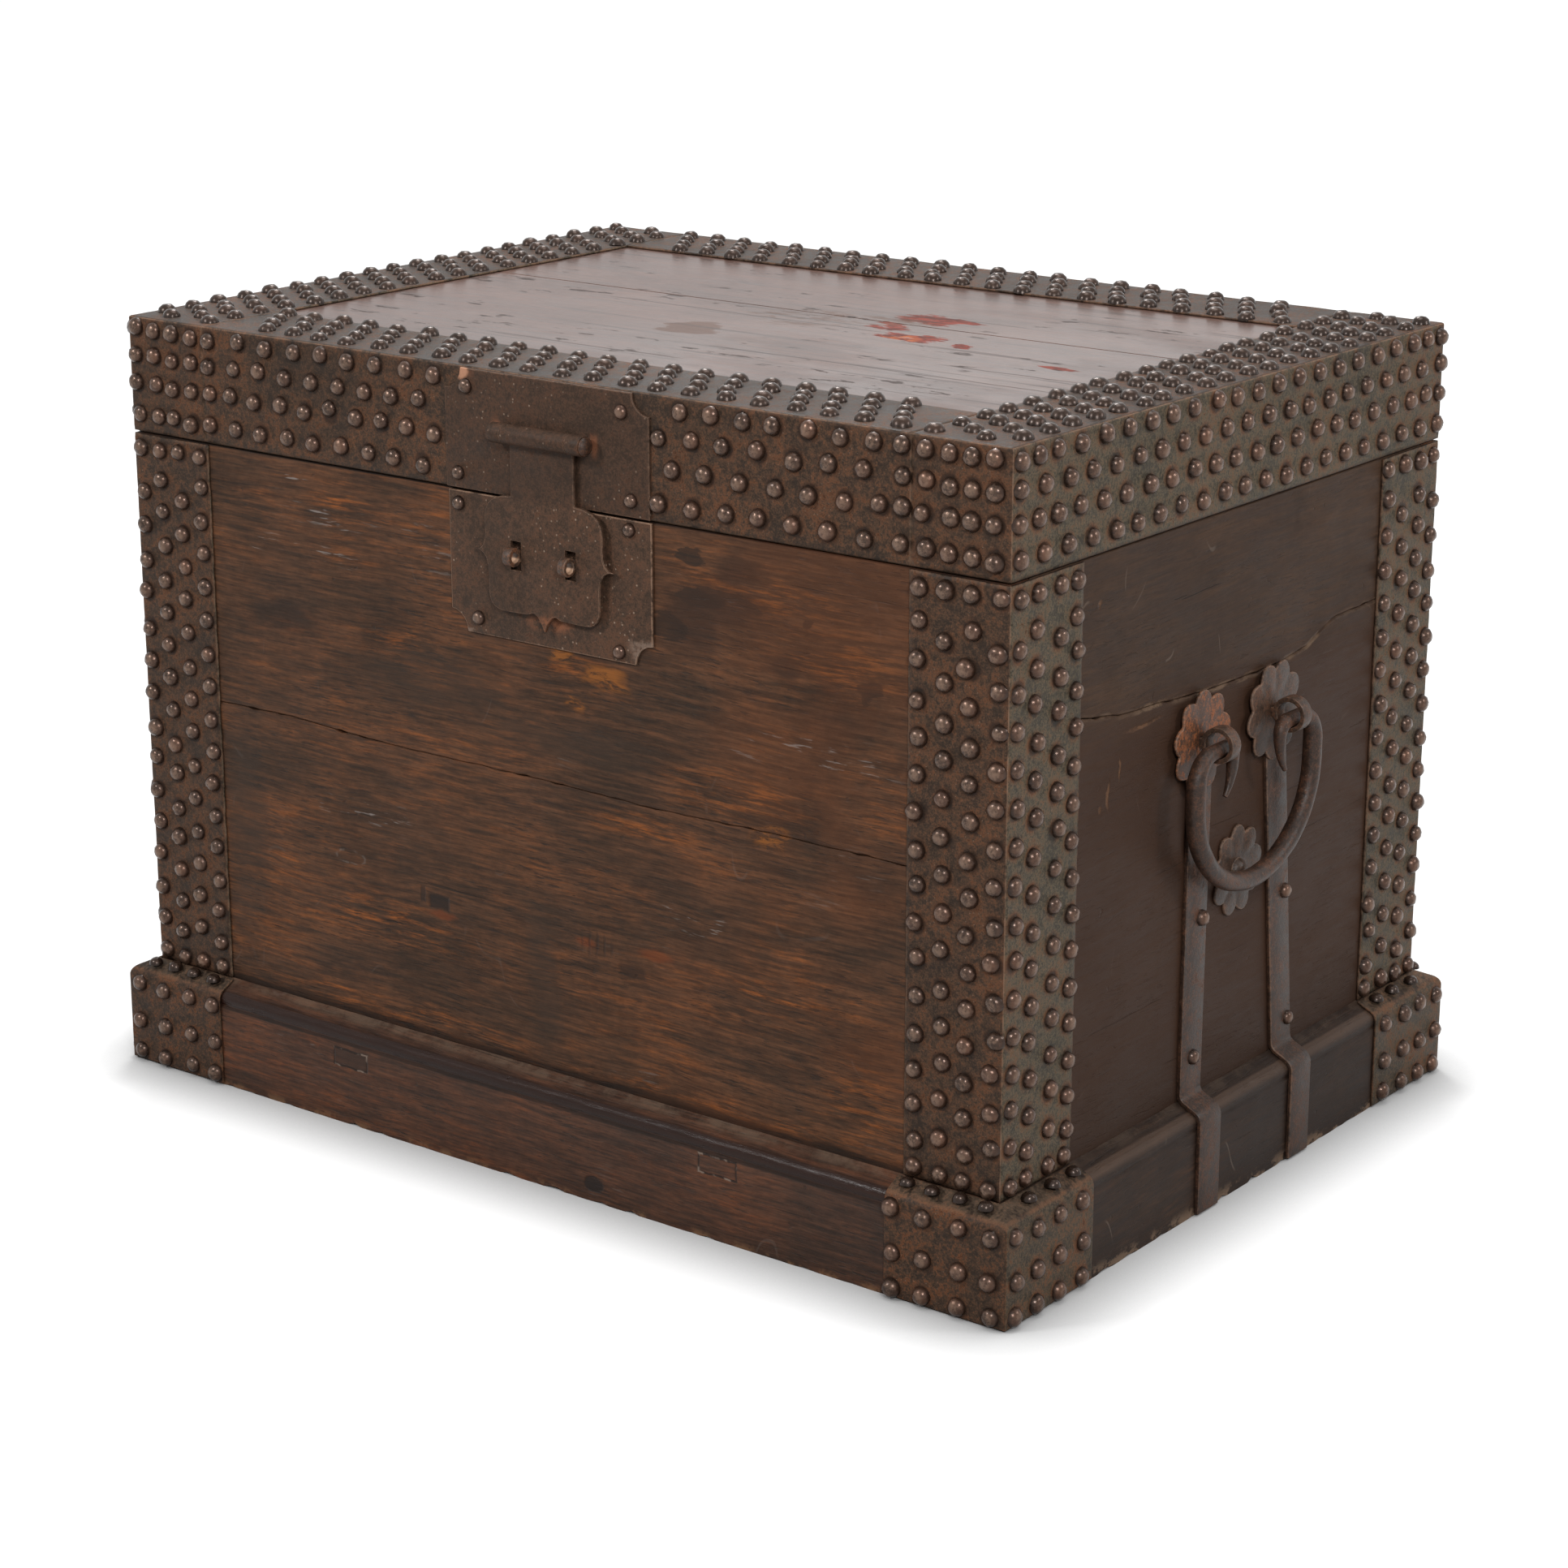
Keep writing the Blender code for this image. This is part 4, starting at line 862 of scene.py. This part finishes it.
layLidStuds()
layChestStuds()
studShapes = [studShape(kind) for kind in range(stud["shapes"])]
layStuds("lid_studs", "lid", spots["lid"], studShapes)
layStuds("chest_studs", "chest", spots["chest"], studShapes)
layStuds("flange_studs", "chest", flangeStuds(), studShapes, size=0.82)
lockNails = {  # y of the plate, then x and z of its nails
    "lid": (-0.2883, [(-0.0585, 0.580), (0.082, 0.581), (-0.066, 0.5185), (0.091, 0.519)]),
    "chest": (-0.2865, [(-0.068, 0.496), (0.087, 0.498), (-0.052, 0.4136), (0.0776, 0.410)]),
}
strapNails = {"out": 0.4015, "places": [(-0.0375, 0.217), (-0.0437, 0.113), (0.077, 0.206), (0.087, 0.102)]}
for body, (level, places) in lockNails.items():
    places = [(Vector((x, level, z)), Vector((0, -1, 0))) for x, z in places]
    layStuds(f"{body}_lock_nails", body, places, studShapes, size=0.8)
for end, side in (("left", -1), ("right", 1)):
    x, outward = side * strapNails["out"], Vector((side, 0, 0))
    places = [(Vector((x, y, z)), outward) for y, z in strapNails["places"]]
    layStuds(f"{end}_strap_nails", "chest", places, studShapes, size=0.85)
print("studs laid:", len(spots["lid"]) + len(spots["chest"]))


# copies of CAD shapes, merged so that they can be worked on
def easedCopy(name, width):
    bm = bmesh.new()
    bm.from_mesh(nodes[name].data)
    bmesh.ops.remove_doubles(bm, verts=bm.verts, dist=1e-6)
    bmesh.ops.dissolve_limit(bm, angle_limit=math.radians(0.5), verts=bm.verts, edges=bm.edges)
    # bevel faces marked for the lighter edges, which are rubbed metal and a painted highlight
    rub = bm.faces.layers.float.new("rub")
    if width:
        edges = [e for e in bm.edges if e.is_manifold and e.calc_face_angle() > math.radians(32)]
        made = bmesh.ops.bevel(bm, geom=edges, offset=width, affect="EDGES", segments=2, profile=0.5,
                               material=-1, clamp_overlap=True)
        for face in made["faces"]:
            face[rub] = 1
    return bm


def cutAt(bm, axis, level):
    normal = Vector([int(i == axis) for i in range(3)])
    whole = bm.verts[:] + bm.edges[:] + bm.faces[:]
    bmesh.ops.bisect_plane(bm, geom=whole, plane_co=normal * level, plane_no=normal)


def cutAcross(bm, axis, low, high, step):
    count = max(2, round((high - low) / step))
    for i in range(1, count):
        cutAt(bm, axis, low + (high - low) * i / count)


# boards: the joint between two boards wanders, and its edges are chipped
board = {"step": 0.007, "chip": 0.0026, "wander": 0.0008, "lip": 0.006, "edge": 0.003, "skin": 0.002}
frontJoint = {"axis": 0, "level": 0.302, "slot": "oiled_wood", "wave": [
    (-0.40, 0.305), (-0.30, 0.306), (-0.25, 0.307), (-0.15, 0.303), (0.0, 0.303), (0.10, 0.301),
    (0.15, 0.302), (0.22, 0.303), (0.40, 0.302)]}
endJoint = {"axis": 1, "level": 0.395, "slot": "grey_wood", "wave": [
    (-0.27, 0.399), (-0.20, 0.398), (-0.15, 0.389), (-0.10, 0.386), (-0.04, 0.3815), (0.0, 0.3805),
    (0.06, 0.380), (0.10, 0.384), (0.125, 0.393), (0.14, 0.398), (0.27, 0.399)]}


def waveAt(wave, value):
    for (x0, z0), (x1, z1) in zip(wave, wave[1:]):
        if x0 <= value <= x1:
            return z0 + (z1 - z0) * (value - x0) / (x1 - x0)
    return wave[0][1] if value < wave[0][0] else wave[-1][1]


def chipAt(along, upper, name):
    return max(0, noise.noise((along * 110, 3 if upper else 8, len(name))) - 0.1) * board["chip"]


def boardCopy(name):
    # a merged copy in short lengths, the joint it lies along, and how far out its face is
    joint = frontJoint if "front" in name or "back" in name else endJoint
    axis = joint["axis"]
    low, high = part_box(name)
    bm = easedCopy(name, 0)
    cutAcross(bm, axis, low[axis], high[axis], board["step"])
    return bm, joint, max(abs(low[1 - axis]), abs(high[1 - axis]))


def makeBoards():
    for name in nodes:
        if "_board_" not in name:
            continue
        bm, joint, face = boardCopy(name)
        axis, level = joint["axis"], joint["level"]
        upper = name.endswith("upper")
        for shift in (-board["lip"], board["lip"]):
            cutAt(bm, 2, level + shift)
        lip = bm.verts.layers.float.new("joint")
        for vert in bm.verts:
            if abs(vert.co.z - level) < board["lip"] + 1e-4:
                edge = abs(vert.co.z - level) < board["edge"]
                vert[lip] = int(edge)
                along = vert.co[axis]
                vert.co.z += waveAt(joint["wave"], along) - level
                vert.co.z += noise.noise((along * 60, level * 9, 0)) * board["wander"]
                if edge and abs(vert.co[1 - axis]) > face - board["skin"]:
                    vert.co.z += chipAt(along, upper, name) * (1 if upper else -1)
        standIn(bm, name, "_worn", woodFor(name), sharp=30)


# plinths: a chipped foot and an uneven bead
plinth = {"foot": 0.002, "skin": 0.003, "chip": 0.006, "beadFrom": 0.05, "beadDeep": 0.02, "sway": 0.0004}


def makePlinths():
    for name in nodes:
        if not name.startswith("plinth_") or "cap" in name:
            continue
        bm, joint, face = boardCopy(name)
        axis = joint["axis"]
        for vert in bm.verts:
            along = vert.co[axis]
            deep = face - abs(vert.co[1 - axis])
            if vert.co.z < plinth["foot"] and deep < plinth["skin"]:
                vert.co.z += max(0, noise.noise((along * 70, 5, len(name))) - 0.05) * plinth["chip"]
            if vert.co.z > plinth["beadFrom"] and deep < plinth["beadDeep"]:
                sway = (noise.noise((along * 45, vert.co.z * 90, 2)) - 0.4) * plinth["sway"]
                vert.co[1 - axis] += math.copysign(1, vert.co[1 - axis]) * sway
        standIn(bm, name, "_worn", woodFor(name), sharp=30)


makeBoards()
makePlinths()
print("boards worn")


# sheet iron: thin panels welded at their folds, rubbed there, swelling between the nails
sheet = {"step": 0.0036, "thick": 0.0015, "fold": 0.0016, "swell": 0.0005, "halo": 0.015,
         "ragged": {"chest": 0.0009, "lid": 0.00027}, "gap": 0.0006, "split": 0.5071, "capStep": 0.005,
         "capEdge": 0.0006, "capSwell": 0.0003}
nails = kdtree.KDTree(len(spots["lid"]) + len(spots["chest"]))
for index, (place, out) in enumerate(spots["lid"] + spots["chest"]):
    nails.insert(place, index)
nails.balance()


def panel(bm, corner, across, up, out):
    corner, across, up, out = (Vector(v) for v in (corner, across, up, out))
    if across.cross(up).dot(out) < 0:
        across, up = up, across
    cuts = [max(1, round(side.length / sheet["step"])) for side in (across, up)]
    made = bmesh.ops.create_grid(bm, x_segments=cuts[0], y_segments=cuts[1], size=0.5)
    matrix = Matrix((across, up, out)).transposed().to_4x4()
    matrix.translation = corner + (across + up) / 2
    bmesh.ops.transform(bm, verts=made["verts"], matrix=matrix)


def weld(bm):
    bmesh.ops.remove_doubles(bm, verts=bm.verts, dist=1e-5)
    folds = [e for e in bm.edges if e.is_manifold and e.calc_face_angle() > 1]
    bmesh.ops.bevel(bm, geom=folds, offset=sheet["fold"], affect="EDGES", segments=2, profile=0.5,
                    material=-1)


def weather(bm, swell, ragged):
    near, worn, rim = (bm.verts.layers.float.new(layer) for layer in ("near", "worn", "rim"))
    bm.normal_update()
    moves = []
    for vert in bm.verts:
        flat = max(abs(part) for part in vert.normal)
        close = max(0, 1 - nails.find(vert.co)[2] / sheet["halo"])
        vert[near] = close
        vert[worn] = min(1, (1 - flat) * 4)
        puff = 0.5 + 0.5 * noise.noise(vert.co * 30) + 0.2 * noise.noise(vert.co * 95)
        move = vert.normal * puff * (1 - 0.8 * close) * swell
        if vert.is_boundary:
            vert[rim] = 1
            centres = [face.calc_center_median() for face in vert.link_faces]
            inward = (sum(centres, Vector()) / len(centres) - vert.co).normalized()
            move = inward * abs(noise.noise(vert.co * 75)) * ragged
        moves.append(move)
    for vert, move in zip(bm.verts, moves):
        vert.co += move


def makeSheet(name, bm):
    weld(bm)
    weather(bm, sheet["swell"], sheet["ragged"][nodes[name]["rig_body"]])
    piece = standIn(bm, name, "_sheet", irons["sheet_brown_iron"], sharp=60)
    thick = piece.modifiers.new("thickness", "SOLIDIFY")
    thick.thickness = sheet["thick"]
    thick.offset = -1


def makeSheets():
    x, y, top, split = half["x"], half["y"], half["top"], sheet["split"]
    low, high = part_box("corner_plate_front_right")
    foot = low.z
    legFront, legEnd, tall = high - low - Vector((0, 0, sheet["gap"]))
    low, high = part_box("lid_binding_front")
    seam, border = high.x, high.y - low.y
    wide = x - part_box("lid_binding_right")[0].x
    for sx, end in ((-1, "left"), (1, "right")):
        for sy, side in ((-1, "front"), (1, "back")):
            bm = bmesh.new()
            corner = (sx * x, sy * y, foot)
            panel(bm, corner, (-sx * legFront, 0, 0), (0, 0, tall), (0, sy, 0))
            panel(bm, corner, (0, -sy * legEnd, 0), (0, 0, tall), (sx, 0, 0))
            makeSheet(f"corner_plate_{side}_{end}", bm)
        bm = bmesh.new()
        panel(bm, (sx * x, -y, split), (0, 2 * y, 0), (0, 0, top - split), (sx, 0, 0))
        panel(bm, (sx * x, -y, top), (0, 2 * y, 0), (-sx * wide, 0, 0), (0, 0, 1))
        for sy in (-1, 1):
            panel(bm, (sx * x, sy * y, split), (-sx * wide, 0, 0), (0, 0, top - split), (0, sy, 0))
        makeSheet(f"lid_binding_{end}", bm)
    for sy, side in ((-1, "front"), (1, "back")):
        bm = bmesh.new()
        length = (2 * seam, 0, 0)
        panel(bm, (-seam, sy * y, split), length, (0, 0, top - split), (0, sy, 0))
        panel(bm, (-seam, sy * y, top), length, (0, -sy * border, 0), (0, 0, 1))
        makeSheet(f"lid_binding_{side}", bm)


def makeCaps():
    for name in nodes:
        if not name.startswith("plinth_cap"):
            continue
        bm = easedCopy(name, sheet["capEdge"])
        low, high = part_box(name)
        for axis in range(3):
            cutAcross(bm, axis, low[axis], high[axis], sheet["capStep"])
        weather(bm, sheet["capSwell"], 0)
        standIn(bm, name, "_sheet", irons["cap_iron"])


makeSheets()
makeCaps()
print("sheet iron folded")


# forged pieces with eased edges
eased = {  # node: edge width, material, slot
    "hasp": (0.0006, "lock_iron", "forged_iron"),
    "hasp_pin": (0.0006, "forged_iron_worn", "rusted_iron"),
    "lock_plate_upper": (0.0005, "lock_iron", "sheet_iron"),
    "lock_plate_lower": (0.0005, "lock_iron", "sheet_iron"),
    "staple_left": (0.0008, "staple_iron", "forged_iron"),
    "staple_right": (0.0008, "staple_iron", "forged_iron"),
}
for end in ("left", "right"):
    for place in ("front", "back"):
        eased[f"{end}_strap_{place}"] = (0.0008, "forged_iron_worn", "forged_iron")
        eased[f"{end}_eye_{place}"] = (0.0012, "rose_iron", "forged_iron")
    for part, width in (("body_leaf", 0.0005), ("lid_leaf", 0.0005), ("pin", 0.0)):
        eased[f"hinge_{end}_{part}"] = (width, "forged_iron_worn", "forged_iron")


def easeNodes():
    for name, (width, finish, slotName) in eased.items():
        standIn(easedCopy(name, width), name, "_eased", irons[finish])


easeNodes()
print("forged pieces eased")


# rosettes: raised petals with grooves between them, and a dished middle
rosette = {"lobes": 9, "radius": 0.037, "petal": 0.0009, "dish": 0.013, "step": 0.0026, "edge": 0.0005,
           "span": 0.008, "fall": 0.010, "skin": 0.0004, "strike": 0.4005}
rosetteSpots = {"rosette_front": (-0.049, 0.349, 0), "rosette_back": (0.049, 0.349, 1),
                "strike_rosette": (0.010, 0.239, 0)}  # y, z and half a lobe's turn


def petalAt(y, z, turn):
    # height of the petals at a place measured from the rosette's middle
    reach = math.hypot(y, z)
    angle = math.atan2(z, y) - math.pi / 2 - turn * math.pi / rosette["lobes"]
    ridge = abs(math.cos(rosette["lobes"] * angle / 2)) ** 0.6
    span = min(1, max(0, (reach - rosette["dish"]) / rosette["span"]))
    fall = min(1, max(0, (rosette["radius"] - reach) / rosette["fall"]))
    return rosette["petal"] * span * fall * (ridge - 0.25)


def makeRosettes():
    for end, side in (("left", -1), ("right", 1)):
        for place, (y, z, turn) in rosetteSpots.items():
            name = f"{end}_{place}"
            low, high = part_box(name)
            bm = easedCopy(name, rosette["edge"])
            cutAcross(bm, 1, low[1], high[1], rosette["step"])
            cutAcross(bm, 2, low[2], high[2], rosette["step"])
            bossed = place == "strike_rosette"
            outer = rosette["strike"] if bossed else max(abs(low[0]), abs(high[0]))
            for vert in bm.verts:
                above = abs(vert.co.x) - outer
                if above >= -rosette["skin"] and not (bossed and above > rosette["skin"]):
                    vert.co.x += side * petalAt(vert.co.y - y, vert.co.z - z, turn)
            finish = "rusted_iron_orange" if name == "right_rosette_front" else "rose_iron"
            standIn(bm, name, "_petals", irons[finish], sharp=50)


makeRosettes()
print("rosettes shaped")


# bails: a round bar swept along its bend, thinning into the hooks
bail = {"sides": 18, "out": 0.4178, "level": 0.3453, "half": 0.080, "drop": 0.106, "crown": 0.036,
        "turn": 0.020, "hook": 0.0415, "hookTurn": 0.009, "hookLong": 0.036, "bar": 0.007, "eye": 0.0055,
        "tip": 0.0018, "curl": 0.009, "hammer": 0.0003}


def arc(centre, wide, tall, first, last, steps):
    angles = [math.radians(first + (last - first) * i / steps) for i in range(steps + 1)]
    return [(centre[0] + wide * math.cos(a), centre[1] + tall * math.sin(a)) for a in angles]


def bailPath():
    # ((y, z), radius) from tip to tip, z from the eyes
    wide, crown, turn, hookTurn = bail["half"], bail["crown"], bail["turn"], bail["hookTurn"]
    grip = arc((0, -crown), wide, bail["drop"] - crown, -90, 0, 22)
    bend = arc((wide - turn, -turn), turn, turn, 0, 90, 10)
    tail = arc((bail["hook"], -hookTurn), hookTurn, hookTurn, 90, 180, 8)
    for i in range(1, 9):
        tail.append((bail["hook"] - hookTurn + bail["curl"] * (i / 8) ** 2.5,
                     -hookTurn - (bail["hookLong"] - hookTurn) * i / 8))

    def thinning(points, thick, thin, power):
        last = len(points) - 1
        return [(point, thick + (thin - thick) * (i / last) ** power) for i, point in enumerate(points)]

    points = [(point, bail["bar"]) for point in grip] + thinning(bend, bail["bar"], bail["eye"], 1)
    points += thinning(tail, bail["eye"], bail["tip"], 2.2)
    path = [((-y, z), radius) for (y, z), radius in points[:0:-1]] + points
    moved = [after for before, after in zip(path, path[1:]) if math.dist(before[0], after[0]) > 1e-6]
    return path[:1] + moved


def ringAt(path, i, x):
    (y, z), radius = path[i]
    ahead, behind = path[min(i + 1, len(path) - 1)][0], path[max(i - 1, 0)][0]
    along = Vector((0, ahead[0] - behind[0], ahead[1] - behind[1])).normalized()
    side = Vector((1, 0, 0))
    matrix = Matrix((side * radius, along.cross(side) * radius, along * radius)).transposed().to_4x4()
    matrix.translation = Vector((x, y, bail["level"] + z))
    return matrix


def makeBails():
    path = bailPath()
    for end, sign in (("left", -1), ("right", 1)):
        bm = bmesh.new()
        rings = [ringAt(path, i, sign * bail["out"]) for i in range(len(path))]
        bmesh.ops.create_circle(bm, cap_ends=True, segments=bail["sides"], radius=1, matrix=rings[0])
        edges = bm.edges[:]
        for before, after in zip(rings, rings[1:]):
            made = bmesh.ops.extrude_edge_only(bm, edges=edges)["geom"]
            verts = [item for item in made if isinstance(item, bmesh.types.BMVert)]
            edges = [item for item in made
                     if isinstance(item, bmesh.types.BMEdge) and all(v in verts for v in item.verts)]
            bmesh.ops.transform(bm, verts=verts, matrix=after @ before.inverted())
        bmesh.ops.edgeloop_fill(bm, edges=edges)
        bmesh.ops.recalc_face_normals(bm, faces=bm.faces)
        bm.normal_update()
        for vert in bm.verts:  # hammer marks
            vert.co += vert.normal * noise.noise(vert.co * 85) * bail["hammer"]
        standIn(bm, f"{end}_bail", "_swept", irons["forged_iron_worn"], sharp=50)


makeBails()
print("bails swept")
